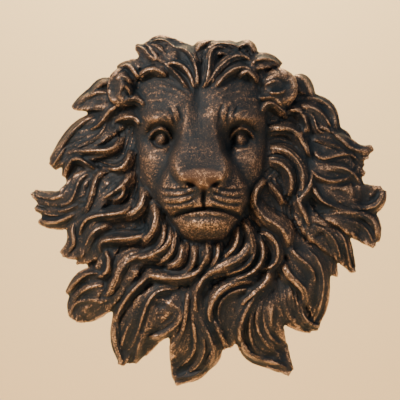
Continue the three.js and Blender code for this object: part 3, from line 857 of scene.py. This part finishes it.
@dataclass
class CrestCarver:
    """Lays ropes of hair over the dome and its locks. Sizes are in mm, and the others are shares."""

    dome: Dome = field(default_factory=Dome)
    face: Face = field(default_factory=Face)
    rows: int = 41
    lanes: int = 21
    arch_from: float = 0.04
    arch_span: float = 0.88
    narrowest: float = 0.35
    fullness: float = 0.7
    spread: float = 1.25
    low: float = 3.0
    lift: float = 6.5
    lift_share: float = 0.62
    lift_round: float = 0.75
    edge: float = -1.0
    flat: float = 0.1
    flank_fall: float = 1.3
    strand: float = 0.45
    strand_pitch: float = 2.6
    start: Pair = (-0.02, 0.14)
    end: Pair = (0.88, 1.02)
    sink: float = 5.0
    even: int = 4

    def over_face(self, x: Array, z: Array) -> Array:
        """How far a rope's middle line is lifted to pass over the face, in mm."""
        rise = np.maximum(0.0, self.face.out(x, z) - self.dome.out(x, z)) * self.face.holds(x, z)
        evened = np.convolve(np.pad(rise, self.even, mode="edge"), np.ones(2 * self.even + 1), mode="valid")
        return evened / (2 * self.even + 1)

    def sweep(self, crest: Crest) -> tuple[Array, list[Loop]]:
        """One rope as a closed shell.

        Args:
            crest: The rope.

        Returns:
            Corners in metres, and faces.
        """
        t = np.linspace(0.0, 1.0, self.rows)
        across = np.linspace(-1.0, 1.0, self.lanes)
        arch = np.sin(math.pi * (self.arch_from + self.arch_span * t))
        half = self.spread * crest.width * (self.narrowest + (1.0 - self.narrowest) * arch**self.fullness)
        px, pz = beside(*crest.middle(t), half, across)
        px, pz = drawn_in(px, pz, self.dome.out(px, pz))
        dome = self.dome.out(px, pz)
        over = self.over_face(px[:, self.lanes // 2], pz[:, self.lanes // 2])
        top = self.low + (self.lift + self.lift_share * crest.width - self.low) * arch**self.lift_round
        top = self.edge + (top + crest.ride - self.edge) * window(self.start, self.end, t)
        away = np.clip((np.abs(across) - self.flat) / (1.0 - self.flat), 0.0, 1.0)
        flank = (1.0 - away) ** self.flank_fall
        strands = self.strand * np.cos(2.0 * math.pi * half[:, None] * across / self.strand_pitch) * flank
        out = dome + over[:, None] + self.edge + (top[:, None] - self.edge) * flank + strands
        rope = np.stack([px, -out, pz], axis=-1)
        sides = [-1, 0]
        feet = np.stack([px[:, sides], self.sink - dome[:, sides], pz[:, sides]], axis=-1)
        return link_tube(np.concatenate([rope, feet], axis=1))


def lattice_noise(places: Array) -> Array:
    """Soft random values between -1 and 1, one for each place, whose bumps are one unit apart."""
    side = 48
    lattice = np.random.default_rng(SEED).uniform(-1.0, 1.0, (side, side, side))
    corner = np.floor(places).astype(int)
    part = places - corner
    part = part * part * (3.0 - 2.0 * part)
    values = np.zeros(len(places))
    for step in np.ndindex(2, 2, 2):
        weight = np.prod(np.where(np.array(step) == 1, part, 1.0 - part), axis=1)
        here = (corner + step) % side
        values += weight * lattice[here[:, 0], here[:, 1], here[:, 2]]
    return values


@dataclass
class Flow:
    """The way that the hair runs: across it, along it and which rope it follows, in mm."""

    face: Face
    samples: int = 44
    past: float = 0.12
    fur_middle: Pair = (-2.0, 34.0)
    fur_turn: float = 62.0
    fur_number: float = -9.0
    chin_short: float = 9.0
    chin_ease: Pair = (-6.0, 40.0)
    on_face: float = 1.6

    def hair(self, x: Array, z: Array) -> Array:
        """The mane's flow at each place, after the nearest rope.

        Args:
            x: Places across on the tips' plane, in mm.
            z: Places up, in mm.

        Returns:
            Rows of across, along and the rope's own number.
        """
        t = np.linspace(-self.past, 1.0 + self.past, self.samples)
        rows = []
        for number, crest in enumerate(CRESTS):
            line_x, line_z = crest.middle(t)
            ahead_x, ahead_z, run = heading(line_x, line_z)
            own = np.full_like(run, number)
            rows.append(np.stack([line_x, line_z, ahead_x, ahead_z, np.cumsum(run), own], axis=1))
        lines = np.concatenate(rows)
        tree = KDTree(len(lines))
        for i, line in enumerate(lines):
            tree.insert((line[0], line[1], 0.0), i)
        tree.balance()
        near = lines[[tree.find((a, b, 0.0))[1] for a, b in zip(x.tolist(), z.tolist())]]
        dx, dz = x - near[:, 0], z - near[:, 1]
        across = dz * near[:, 2] - dx * near[:, 3]
        along = near[:, 4] + dx * near[:, 2] + dz * near[:, 3]
        return np.stack([across, along, near[:, 5]], axis=1)

    def fur(self, x: Array, z: Array) -> Array:
        """The face's flow: fur that runs away from the bridge of the nose, shorter on the chin."""
        dx, dz = x - self.fur_middle[0], z - self.fur_middle[1]
        short = 1.0 + self.chin_short * (1.0 - smooth(*self.chin_ease, z))
        across = np.arctan2(dx, dz) * self.fur_turn
        return np.stack([across, np.hypot(dx, dz) * short, np.full_like(x, self.fur_number)], axis=1)

    def read(self, places: Array) -> tuple[Array, Array]:
        """The flow at corners of the casting.

        Args:
            places: Corners in mm.

        Returns:
            The flow, and how far each corner belongs to the face, 0 or 1.
        """
        x, out, z = places[:, 0], -places[:, 1], places[:, 2]
        share = (VIEW_DISTANCE - TIP_PLANE) / (VIEW_DISTANCE - out)
        flow = self.hair(VIEW_X + (x - VIEW_X) * share, z * share)
        face = self.face.holds(x, z) & (np.abs(out - self.face.out(x, z)) < self.on_face)
        return np.where(face[:, None], self.fur(x, z), flow), face.astype(float)


@dataclass(frozen=True)
class Ear:
    """An ear: its middle and half sizes in mm, and how far it looks aside, in radians."""

    place: Triple
    size: Triple
    turn: float


@dataclass
class Casting:
    """The whole casting: dome, face, ears, locks and ropes in one skin, with the pot cut out of it.

    Sizes are in mm. The pot's mouth and floor are half width, depth and z.
    """

    dome: Dome = field(default_factory=Dome)
    face: Face = field(default_factory=Face)
    carver: LockCarver = field(default_factory=LockCarver)
    ropes: CrestCarver = field(default_factory=CrestCarver)
    ears: tuple[Ear, ...] = (
        Ear((76.0, 52.0, 110.0), (19.0, 16.0, 20.0), 0.35),
        Ear((-79.0, 50.0, 110.0), (13.0, 16.0, 20.0), -0.75),
    )
    ear_flesh: float = 2.5
    ear_hollow: float = 0.36
    ear_forward: float = 0.98
    ear_open: float = 4.5
    plate_half_width: float = 126.0
    plate_rise: float = 130.0
    plate_drop: float = 132.0
    plate_middle_z: float = 12.0
    plate_turns: int = 420
    plate_rings: int = 110
    plate_pole: float = 0.02
    brim_reach: float = 1.08
    brim_back: float = 12.0
    seat: float = 4.0
    back_wall: float = 10.0
    pot_mouth: Triple = (74.0, 38.0, 150.0)
    pot_floor: Triple = (50.0, 28.0, -30.0)
    pot_turns: int = 96
    pot_past: float = 1.25
    keyhole_z: float = 100.0
    keyhole_head: float = 12.0
    keyhole_slot: float = 6.0
    keyhole_length: float = 16.0
    keyhole_past: float = 3.0
    strand_pitch: float = 3.6
    strand_height: float = 2.4
    strand_lines: int = 13
    strand_past: float = 0.1
    strand_size: Pair = (2.8, 44.0)
    strand_out: float = 1.35
    strand_sharp: float = 1.6
    rope_gap: float = 3.7
    fur_size: Pair = (1.9, 7.0)
    fur_out: float = 0.4
    roughness: float = 0.26
    rough_size: float = 1.7
    eye_plain: Pair = (8.0, 6.5)
    eye_share: float = 1.4
    grain: float = 0.9
    quick_grain: float = 1.6
    softening: int = 5
    soft_from: Pair = (10.0, 16.0)
    carved_from: Pair = (12.0, 20.0)
    carved_facing: Pair = (-0.2, 0.3)
    face_blend: int = 3
    leather_full: float = 4.0
    knee: float = 14.0
    clear: float = 0.1
    most_triangles: int = 190_000
    crease_degrees: float = 50.0

    def undercoat(self, x: Array, z: Array) -> Array:
        """The fine strands between the locks: grooves that run along the nearest rope of hair.

        Args:
            x: Places across, in mm.
            z: Places up, in mm.

        Returns:
            The carving's height at each place, in mm.
        """
        nearest = np.full(x.shape, np.inf)
        offset = np.zeros(x.shape)
        t = np.linspace(-self.strand_past, 1.0 + self.strand_past, self.strand_lines)
        for number, crest in enumerate(CRESTS):
            line_x, line_z = crest.middle(t)
            for i in range(len(t) - 1):
                dx, dz = line_x[i + 1] - line_x[i], line_z[i + 1] - line_z[i]
                length = math.hypot(dx, dz)
                along = np.clip(((x - line_x[i]) * dx + (z - line_z[i]) * dz) / length**2, 0.0, 1.0)
                away = np.hypot(x - line_x[i] - along * dx, z - line_z[i] - along * dz)
                closer = away < nearest
                across = (-(x - line_x[i]) * dz + (z - line_z[i]) * dx) / length
                offset = np.where(closer, across + number, offset)
                nearest = np.where(closer, away, nearest)
        return self.strand_height * (0.5 - np.abs(np.sin(math.pi * offset / self.strand_pitch)))

    def plate(self) -> tuple[Array, list[Loop]]:
        """The dome and the flat back plate as one closed shell: corners in metres, and faces."""
        angle = np.linspace(0.0, -2.0 * math.pi, self.plate_turns, endpoint=False)
        tall = np.where(np.sin(angle) > 0, self.plate_rise, self.plate_drop)

        def ring(share: float, depth: float | None = None) -> Array:
            """One ring of corners, on the dome where no depth is given."""
            x = self.plate_half_width * share * np.cos(angle)
            z = self.plate_middle_z + tall * share * np.sin(angle)
            if depth is None:
                out = self.dome.out(x, z) - self.seat + self.undercoat(x, z)
            else:
                out = np.full_like(x, depth)
            return np.stack([x, -out, z], axis=-1)

        shares = np.linspace(self.plate_pole, 1.0, self.plate_rings)
        rings = [ring(share * self.brim_reach) for share in shares]
        rings += [ring(self.brim_reach, self.brim_back), ring(1.0, self.brim_back)]
        rings += [ring(1.0, 0.0), ring(self.plate_pole, 0.0)]
        return link_tube(np.array(rings))

    def cut(self, body: bpy.types.Object, tool: bpy.types.Object) -> None:
        """Cuts a solid tool out of a body and removes the tool.

        Args:
            body: What is cut.
            tool: A closed solid.
        """
        change = body.modifiers.new("cut", "BOOLEAN")
        change.operation = "DIFFERENCE"
        change.solver = "MANIFOLD"
        change.object = tool
        apply(body, change)
        bpy.data.objects.remove(tool)

    def pot(self) -> bpy.types.Object:
        """The pocket behind the head: a tapered half-round bucket, drawn from a cylinder.

        It reaches past the pot's mouth, so that the cut opens the pot at its top.
        """
        mouth_half, mouth_deep, mouth_z = self.pot_mouth
        floor_half, floor_deep, floor_z = self.pot_floor
        deselect()
        bpy.ops.mesh.primitive_cylinder_add(vertices=self.pot_turns, radius=1.0, depth=2.0)
        bucket = bpy.context.object
        bpy.ops.object.mode_set(mode="EDIT")
        bpy.ops.mesh.select_all(action="SELECT")
        bpy.ops.mesh.bisect(plane_co=(0, 0, 0), plane_no=(0, -1, 0), clear_inner=True, use_fill=True)
        bpy.ops.object.mode_set(mode="OBJECT")
        for corner in bucket.data.vertices:
            rise = self.pot_past if corner.co.z > 0.0 else 0.0
            half = floor_half + (mouth_half - floor_half) * rise
            deep = floor_deep + (mouth_deep - floor_deep) * rise
            tall = floor_z + (mouth_z - floor_z) * rise
            back = corner.co.y * deep - self.back_wall
            corner.co = Vector((corner.co.x * half * MM, back * MM, tall * MM))
        return bucket

    def keyhole(self) -> bpy.types.Object:
        """The keyhole through the back wall: a round head under a narrow slot, drawn as an outline."""
        slot, head = self.keyhole_slot / 2, self.keyhole_head / 2
        meet = math.asin(slot / head)
        low = np.linspace(math.pi / 2 + meet, math.pi / 2 - meet + 2 * math.pi, 40)
        high = np.linspace(0.0, math.pi, 20)
        outline = [(head * math.cos(a), head * math.sin(a)) for a in low]
        outline += [(slot * math.cos(a), self.keyhole_length - slot + slot * math.sin(a)) for a in high]
        depths = (self.keyhole_past, -self.back_wall - self.keyhole_past)
        rings = [[(x, y, self.keyhole_z + z) for x, z in outline] for y in depths]
        return to_object("keyhole", *link_tube(np.array(rings)))

    def egg(self, ear: Ear, size: Triple, forward: float, aside: float) -> bpy.types.Object:
        """An egg in an ear's place, turned as the ear is.

        Args:
            ear: The ear.
            size: The egg's half width, depth and height, in mm.
            forward: How far it is drawn out of the ear to the front, in mm.
            aside: How far it is moved across, in mm.

        Returns:
            The egg as a closed solid.
        """
        deselect()
        bpy.ops.mesh.primitive_uv_sphere_add(segments=64, ring_count=40, radius=1.0)
        egg = bpy.context.object
        for corner in egg.data.vertices:
            x = corner.co.x * size[0] + aside
            y = corner.co.y * size[1] - forward
            corner.co = Vector((
                (ear.place[0] + x * math.cos(ear.turn) - y * math.sin(ear.turn)) * MM,
                (-ear.place[1] + x * math.sin(ear.turn) + y * math.cos(ear.turn)) * MM,
                (ear.place[2] + corner.co.z * size[2]) * MM,
            ))
        return egg

    def ear(self, ear: Ear) -> bpy.types.Object:
        """One ear as a closed solid: an egg with a hollow pressed into its front, opened to the face."""
        wide, deep, tall = ear.size
        flesh = self.egg(ear, ear.size, 0.0, 0.0)
        inner = (wide - self.ear_flesh, deep * self.ear_hollow, tall - self.ear_flesh)
        hollow = self.egg(ear, inner, deep * self.ear_forward, math.copysign(self.ear_open, -ear.turn))
        self.cut(flesh, hollow)
        return flesh

    def hold_in(self, places: Array) -> None:
        """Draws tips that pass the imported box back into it, in mm."""
        places[:, 1] = np.minimum(places[:, 1], 0.0)
        for axis in range(3):
            for side, limit in ((-1.0, CAD_BOX[0][axis] / MM), (1.0, CAD_BOX[1][axis] / MM)):
                past = side * places[:, axis]
                most, knee = side * limit - self.clear, side * limit - self.knee
                if past.max() > most and knee > 0.0:
                    share = (most - knee) / (past.max() - knee)
                    held = side * (knee + (past - knee) * share)
                    places[:, axis] = np.where(past > knee, held, places[:, axis])

    def combing(self, places: Array, flow: Array, face: Array) -> Array:
        """How far each corner is raised by strands, fur and pits.

        Args:
            places: Corners in mm.
            flow: The hair's flow at each.
            face: How far each belongs to the face.

        Returns:
            The heights, in mm.
        """
        across, along, number = flow[:, 0], flow[:, 1], flow[:, 2] * self.rope_gap
        hair = lattice_noise(np.stack([across / self.strand_size[0], along / self.strand_size[1], number], 1))
        fur = lattice_noise(np.stack([across / self.fur_size[0], along / self.fur_size[1], number], 1))
        pits = lattice_noise(places / self.rough_size)
        strands = (0.5 - self.strand_sharp * np.abs(hair)) * self.strand_out
        eyes = sum(bell(places[:, 0], places[:, 2], eye, self.eye_plain) for eye in self.face.eyes)
        plain = 1.0 - np.minimum(1.0, self.eye_share * eyes)
        return strands * (1.0 - face) + fur * face * self.fur_out * plain + pits * self.roughness * plain

    def carve(self, body: bpy.types.Object) -> None:
        """Softens the mane, combs it, the fur and fine pits into the front, and marks what is what."""
        mesh = body.data
        places, normals = corners_of(mesh)
        flow, face = Flow(self.face).read(places)
        edges = edges_of(mesh)
        face = spread(face[:, None], edges, self.face_blend)[:, 0]
        soft = spread(places, edges, self.softening)
        places += (soft - places) * (1.0 - face)[:, None] * smooth(*self.soft_from, -places[:, 1])[:, None]
        front = smooth(*self.carved_from, -places[:, 1]) * smooth(*self.carved_facing, -normals[:, 1])
        places += normals * (self.combing(places, flow, face) * front)[:, None]
        self.hold_in(places)
        mesh.vertices.foreach_set("co", (places * MM).ravel())
        mesh.update()
        layer = mesh.attributes.new("flow", "FLOAT_VECTOR", "POINT")
        layer.data.foreach_set("vector", flow.astype(np.float32).ravel())
        leather = self.face.tip(places[:, 0], places[:, 2]) / self.leather_full
        write_values(mesh, "face", face)
        write_values(mesh, "leather", np.clip(leather, 0.0, 1.0) * face)

    def shells(self) -> list[bpy.types.Object]:
        """Every closed shell that the skin is drawn over, the plate first."""
        shells = [to_object("plate", *self.plate()), to_object("face", *self.face.shell())]
        shells += [self.ear(ear) for ear in self.ears]
        shells += [to_object(lock.name, *self.carver.sweep(lock, i)) for i, lock in enumerate(LOCKS)]
        shells += [to_object(crest.name, *self.ropes.sweep(crest)) for crest in CRESTS]
        return shells

    def build(self) -> bpy.types.Object:
        """The casting, finely carved, as one closed mesh."""
        shells = self.shells()
        body = shells[0]
        deselect()
        for shell in shells:
            shell.select_set(True)
        bpy.context.view_layer.objects.active = body
        bpy.ops.object.join()
        skin = body.modifiers.new("skin", "REMESH")
        skin.mode = "VOXEL"
        skin.voxel_size = self.grain * MM
        apply(body, skin)
        log.info("skin of %d faces", len(body.data.polygons))
        self.cut(body, self.pot())
        self.cut(body, self.keyhole())
        triangles = sum(len(face.vertices) - 2 for face in body.data.polygons)
        if triangles > self.most_triangles:
            thin = body.modifiers.new("thin", "DECIMATE")
            thin.ratio = self.most_triangles / triangles
            apply(body, thin)
        body.name = PIECE
        body.data.name = PIECE
        self.carve(body)
        rub_and_highlight(body)
        deselect()
        body.select_set(True)
        bpy.context.view_layer.objects.active = body
        bpy.ops.object.shade_smooth_by_angle(angle=math.radians(self.crease_degrees))
        return body


def deselect() -> None:
    """Leaves nothing selected."""
    bpy.ops.object.select_all(action="DESELECT")


def apply(thing: bpy.types.Object, change: bpy.types.Modifier) -> None:
    """Applies a modifier."""
    bpy.context.view_layer.objects.active = thing
    bpy.ops.object.modifier_apply(modifier=change.name)


def spread(values: Array, edges: Array, rounds: int, keep: float = 0.3) -> Array:
    """Averages values with their neighbours' along the mesh.

    Args:
        values: One row for each corner.
        edges: Pairs of corners.
        rounds: How many times.
        keep: The share of its own value that a corner keeps each time.

    Returns:
        The softened values.
    """
    count = len(values)
    first, second = edges[:, 0], edges[:, 1]
    degree = np.bincount(first, minlength=count) + np.bincount(second, minlength=count)
    for _ in range(rounds):
        total = np.empty_like(values)
        for axis in range(values.shape[1]):
            total[:, axis] = np.bincount(first, weights=values[second, axis], minlength=count)
            total[:, axis] += np.bincount(second, weights=values[first, axis], minlength=count)
        values = keep * values + (1.0 - keep) * total / np.maximum(degree, 1)[:, None]
    return values


def corners_of(mesh: bpy.types.Mesh) -> tuple[Array, Array]:
    """A mesh's corners in mm and their normals, one row each."""
    places = np.empty(len(mesh.vertices) * 3)
    mesh.vertices.foreach_get("co", places)
    normals = np.empty(len(mesh.vertices) * 3)
    mesh.vertices.foreach_get("normal", normals)
    return places.reshape(-1, 3) / MM, normals.reshape(-1, 3)


def edges_of(mesh: bpy.types.Mesh) -> Array:
    """A mesh's edges as pairs of corner numbers."""
    edges = np.empty(len(mesh.edges) * 2, dtype=np.int64)
    mesh.edges.foreach_get("vertices", edges)
    return edges.reshape(-1, 2)


def write_values(mesh: bpy.types.Mesh, name: str, values: Array) -> None:
    """Keeps one value for each corner in the mesh."""
    layer = mesh.attributes.new(name, "FLOAT", "POINT")
    layer.data.foreach_set("value", values.astype(np.float32))


def rub_and_highlight(thing: bpy.types.Object) -> None:
    """Writes how far each corner stands proud of what is round it, finely and broadly, as attributes that set
    the rubbed wear and the painted highlights.
    """
    mesh = thing.data
    places, normals = corners_of(mesh)
    edges = edges_of(mesh)
    for name, rounds, full in (("ridge", 4, 0.30), ("crest", 45, 2.4)):
        proud = np.sum((places - spread(places, edges, rounds)) * normals, axis=1)
        proud = spread(proud[:, None], edges, 1)[:, 0]
        write_values(mesh, name, np.clip(0.5 + 0.5 * proud / full, 0.0, 1.0))


class Socket:
    """A node's output that Python's own signs work on."""

    def __init__(self, tree: "Nodes", link: bpy.types.NodeSocket) -> None:
        """Keeps the tree and the output."""
        self.tree = tree
        self.link = link

    def _math(self, operation: str, first: Any, second: Any) -> "Socket":
        """One Math node on two values."""
        return self.tree.add("ShaderNodeMath", {"operation": operation}, {0: first, 1: second}, "Value")

    def __add__(self, other: Any) -> "Socket":
        """This plus other."""
        return self._math("ADD", self, other)

    __radd__ = __add__

    def __sub__(self, other: Any) -> "Socket":
        """This minus other."""
        return self._math("SUBTRACT", self, other)

    def __rsub__(self, other: Any) -> "Socket":
        """Other minus this."""
        return self._math("SUBTRACT", other, self)

    def __mul__(self, other: Any) -> "Socket":
        """This times other."""
        return self._math("MULTIPLY", self, other)

    def eased(self, low: float, high: float) -> "Socket":
        """0 below low, 1 above high and an easy curve between."""
        return self.tree.add(
            "ShaderNodeMapRange",
            {"interpolation_type": "SMOOTHSTEP"},
            {"Value": self, "From Min": low, "From Max": high, "To Min": 0.0, "To Max": 1.0},
            "Result",
        )


@dataclass
class Nodes:
    """A material's node tree."""

    tree: bpy.types.NodeTree

    def plug(self, value: Any, into: bpy.types.NodeSocket) -> None:
        """Links an output, or sets a number or colour, into an input."""
        if isinstance(value, Socket):
            self.tree.links.new(value.link, into)
        else:
            into.default_value = value

    def add(self, kind: str, settings: dict[str, Any], values: dict[Any, Any], output: Any) -> Socket:
        """Adds a node.

        Args:
            kind: The node's type.
            settings: Its own properties, set first.
            values: Numbers, colours or links for its inputs, by name or number.
            output: The output that is wanted, by name or number.

        Returns:
            That output.
        """
        node = self.tree.nodes.new(kind)
        for name, value in settings.items():
            setattr(node, name, value)
        for key, value in values.items():
            self.plug(value, node.inputs[key])
        return Socket(self, node.outputs[output])

    def blend(self, share: Socket, first: Any, second: Any) -> Socket:
        """A colour that goes from first to second as share goes from 0 to 1."""
        colors = [value if isinstance(value, Socket) else (*value, 1.0) for value in (first, second)]
        inputs = {"Factor": share, 6: colors[0], 7: colors[1]}
        return self.add("ShaderNodeMix", {"data_type": "RGBA"}, inputs, 2)

    def noise(self, place: Socket, scale: float, detail: float = 4.0, rough: float = 0.55) -> Socket:
        """Soft random mottling.

        Args:
            place: Where it is read.
            scale: Blotches in one unit of place.
            detail: How many finer layers it has.
            rough: How strong they are.

        Returns:
            Values round a half.
        """
        inputs = {"Vector": place, "Scale": scale, "Detail": detail, "Roughness": rough}
        return self.add("ShaderNodeTexNoise", {}, inputs, "Fac")

    def attribute(self, name: str, output: str = "Fac") -> Socket:
        """A value that the mesh carries."""
        return self.add("ShaderNodeAttribute", {"attribute_name": name}, {}, output)

    def axis(self, place: Socket, name: str) -> Socket:
        """A place along one axis."""
        return self.add("ShaderNodeSeparateXYZ", {}, {"Vector": place}, name)

    def stretched(self, place: Socket, scales: Triple) -> Socket:
        """A place, scaled along each axis."""
        return self.add("ShaderNodeVectorMath", {"operation": "MULTIPLY"}, {0: place, 1: scales}, "Vector")


@dataclass(frozen=True)
class OldBronze:
    """Bronze-look finish: dark in the hollows, brown on the flats, copper rubbed through on the ridges and a
    painted highlight on the proudest of them.

    Colours are linear. Heights and depths are in metres.
    """

    deep: Triple = (0.006, 0.013, 0.018)
    dark: Triple = (0.019, 0.021, 0.023)
    brown: Triple = (0.056, 0.041, 0.033)
    copper: Triple = (0.27, 0.148, 0.086)
    # The painted highlight's colour, standing in for the light's shine on the ridges.
    painted_highlight: Triple = (0.88, 0.55, 0.34)
    leather: Triple = (0.17, 0.080, 0.042)
    mottling: float = 55.0
    gritting: float = 470.0
    flecking: float = 1150.0
    fibre: Triple = (0.62, 0.06, 3.7)
    brow_heights: Pair = (0.012, 0.032)
    back_depths: Pair = (-0.013, -0.009)
    browned: Pair = (0.40, 0.85)
    coppered: Pair = (0.92, 1.12)
    brightened: Pair = (1.16, 1.40)
    bump_strength: float = 0.6
    bump_height: float = 0.0009

    def make(self) -> bpy.types.Material:
        """The finish as a material."""
        material = bpy.data.materials.new(SLOT)
        material.use_nodes = True
        nodes = Nodes(material.node_tree)
        place = nodes.add("ShaderNodeTexCoord", {}, {}, "Object")
        ridge, crest = nodes.attribute("ridge"), nodes.attribute("crest")
        face, leather = nodes.attribute("face"), nodes.attribute("leather")
        mottle = nodes.noise(place, self.mottling)
        grit = nodes.noise(place, self.gritting, 3.0, 0.8)
        fleck = nodes.noise(place, self.flecking, 2.0, 0.6)
        fibre = nodes.noise(nodes.stretched(nodes.attribute("flow", "Vector"), self.fibre), 1.0, 2.0, 0.6)

        # Fine light and dark specks, stronger on the face, where the hair's fibres show less; the lightest of
        # them end up as painted highlight flecks.
        speckle = (grit - 0.5) * (face + 1.7) + (fleck - 0.5) * 2.4
        speckle = speckle + (fibre - 0.5) * (0.9 - face * 0.45)

        # How far the finish is worn, which also sets the painted highlight: most on ridges, less on the upper
        # face, hardly at all on the back.
        brow = nodes.axis(place, "Z").eased(*self.brow_heights) * face
        behind = nodes.axis(place, "Y").eased(*self.back_depths)
        wear_and_highlight = ridge * 0.8 + crest * 0.46 + (mottle - 0.5) * 0.3 + speckle
        wear_and_highlight = wear_and_highlight - face * 0.06 - brow * 0.04 - behind * 0.7 - 0.06
        copper = wear_and_highlight.eased(*self.coppered)
        # Painted highlight: where the wear is highest, a pale copper colour stands in for the shine of the
        # light, held back on the upper face.
        painted_highlight = wear_and_highlight.eased(*self.brightened) * (1.0 - brow * 0.55)
        flats = (crest * 0.9 + ridge * 0.35 + (mottle - 0.5) * 0.7 + speckle * 0.8).eased(*self.browned)

        color = nodes.blend(mottle.eased(0.35, 0.65), self.deep, self.dark)
        color = nodes.blend(flats, color, self.brown)
        color = nodes.blend(leather * 0.75, color, self.leather)
        color = nodes.blend(copper, color, self.copper)
        color = nodes.blend(painted_highlight, color, self.painted_highlight)

        height = fibre * 0.8 + grit * 0.5 + fleck * 0.2
        bump = {"Strength": self.bump_strength, "Distance": self.bump_height, "Height": height}
        shader = material.node_tree.nodes["Principled BSDF"].inputs
        nodes.plug(color, shader["Base Color"])
        nodes.plug(0.25 + copper * 0.5 - face * 0.1, shader["Metallic"])
        nodes.plug(0.62 - copper * 0.18 + face * 0.08 + (grit - 0.5) * 0.25, shader["Roughness"])
        nodes.plug(nodes.add("ShaderNodeBump", {}, bump, "Normal"), shader["Normal"])
        return material


@dataclass(frozen=True)
class Lamp:
    """A square soft light: place, side and target in metres, power in watts."""

    name: str
    place: Triple
    side: float
    power: float
    color: Triple
    target: Triple = (0.0, 0.0, 0.0)

    def hang(self) -> None:
        """Puts the light into the scene, facing its target."""
        lamp = bpy.data.lights.new(self.name, "AREA")
        lamp.size = self.side
        lamp.energy = self.power
        lamp.color = self.color
        thing = bpy.data.objects.new(self.name, lamp)
        thing.location = self.place
        thing.rotation_euler = (Vector(self.target) - Vector(self.place)).to_track_quat("-Z", "Y").to_euler()
        bpy.context.collection.objects.link(thing)


@dataclass
class Studio:
    """A pale floor and backdrop, soft light with the key from the upper left, and the camera, in metres."""

    distance: float = VIEW_DISTANCE * MM
    camera_x: float = VIEW_X * MM
    lens: float = 132.5
    sensor: float = 36.0
    sheet: Pair = (6.0, 6.0)
    backdrop: Pair = (6.0, 4.0)
    floor_z: float = -0.6
    pale: Triple = (0.93, 0.755, 0.51)
    matt: float = 0.9
    sky: Triple = (0.9, 0.92, 1.0)
    sky_strength: float = 0.3
    lamps: tuple[Lamp, ...] = (
        Lamp("key", (-0.9, -1.1, 0.9), 0.5, 27.0, (1.0, 0.93, 0.84)),
        Lamp("fill", (1.4, -1.2, 0.1), 1.6, 5.5, (0.86, 0.93, 1.0)),
        Lamp("top", (0.1, 0.4, 1.5), 1.2, 6.0, (1.0, 0.96, 0.9)),
        Lamp("wash", (0.0, 1.2, 1.6), 1.0, 90.0, (1.0, 0.81, 0.47), (0.0, BACKDROP_Y, 0.0)),
    )

    def surface(self, name: str, size: Pair, place: Triple, upright: bool) -> None:
        """A flat pale sheet.

        Args:
            name: The sheet's name.
            size: Its width and depth, in metres.
            place: Its middle.
            upright: Whether it stands.
        """
        deselect()
        bpy.ops.mesh.primitive_plane_add(size=1.0, location=place)
        sheet = bpy.context.object
        sheet.name = name
        sheet.scale = (*size, 1.0)
        if upright:
            sheet.rotation_euler = (math.pi / 2, 0.0, 0.0)
        bpy.ops.object.transform_apply(location=True, rotation=True, scale=True)
        material = bpy.data.materials.new(name)
        material.use_nodes = True
        shader = material.node_tree.nodes["Principled BSDF"]
        shader.inputs["Base Color"].default_value = (*self.pale, 1.0)
        shader.inputs["Roughness"].default_value = self.matt
        sheet.data.materials.append(material)

    def camera(self) -> None:
        """The camera, straight in front of the wall."""
        lens = bpy.data.cameras.new("camera")
        lens.lens = self.lens
        lens.sensor_width = self.sensor
        thing = bpy.data.objects.new("camera", lens)
        thing.location = (self.camera_x, -self.distance, 0.0)
        thing.rotation_euler = (math.pi / 2, 0.0, 0.0)
        bpy.context.collection.objects.link(thing)
        bpy.context.scene.camera = thing

    def build(self) -> None:
        """Sets the stage."""
        self.camera()
        self.surface("floor", self.sheet, (0.0, 0.0, self.floor_z), False)
        self.surface("backdrop", self.backdrop, (0.0, BACKDROP_Y, self.floor_z + self.backdrop[1] / 2), True)
        for lamp in self.lamps:
            lamp.hang()
        world = bpy.data.worlds.new("studio")
        world.use_nodes = True
        sky = world.node_tree.nodes["Background"]
        sky.inputs["Color"].default_value = (*self.sky, 1.0)
        sky.inputs["Strength"].default_value = self.sky_strength
        bpy.context.scene.world = world


def main() -> None:
    """Builds the stage and the casting."""
    logging.basicConfig(level=logging.INFO, format="%(name)s: %(message)s")
    Studio().build()
    casting = Casting().build()
    casting.data.materials.clear()
    casting.data.materials.append(OldBronze().make())
    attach(casting, "root")
    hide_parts(NODE)
    log.info("%s has %d faces", casting.name, len(casting.data.polygons))


if __name__ == "__main__":
    main()
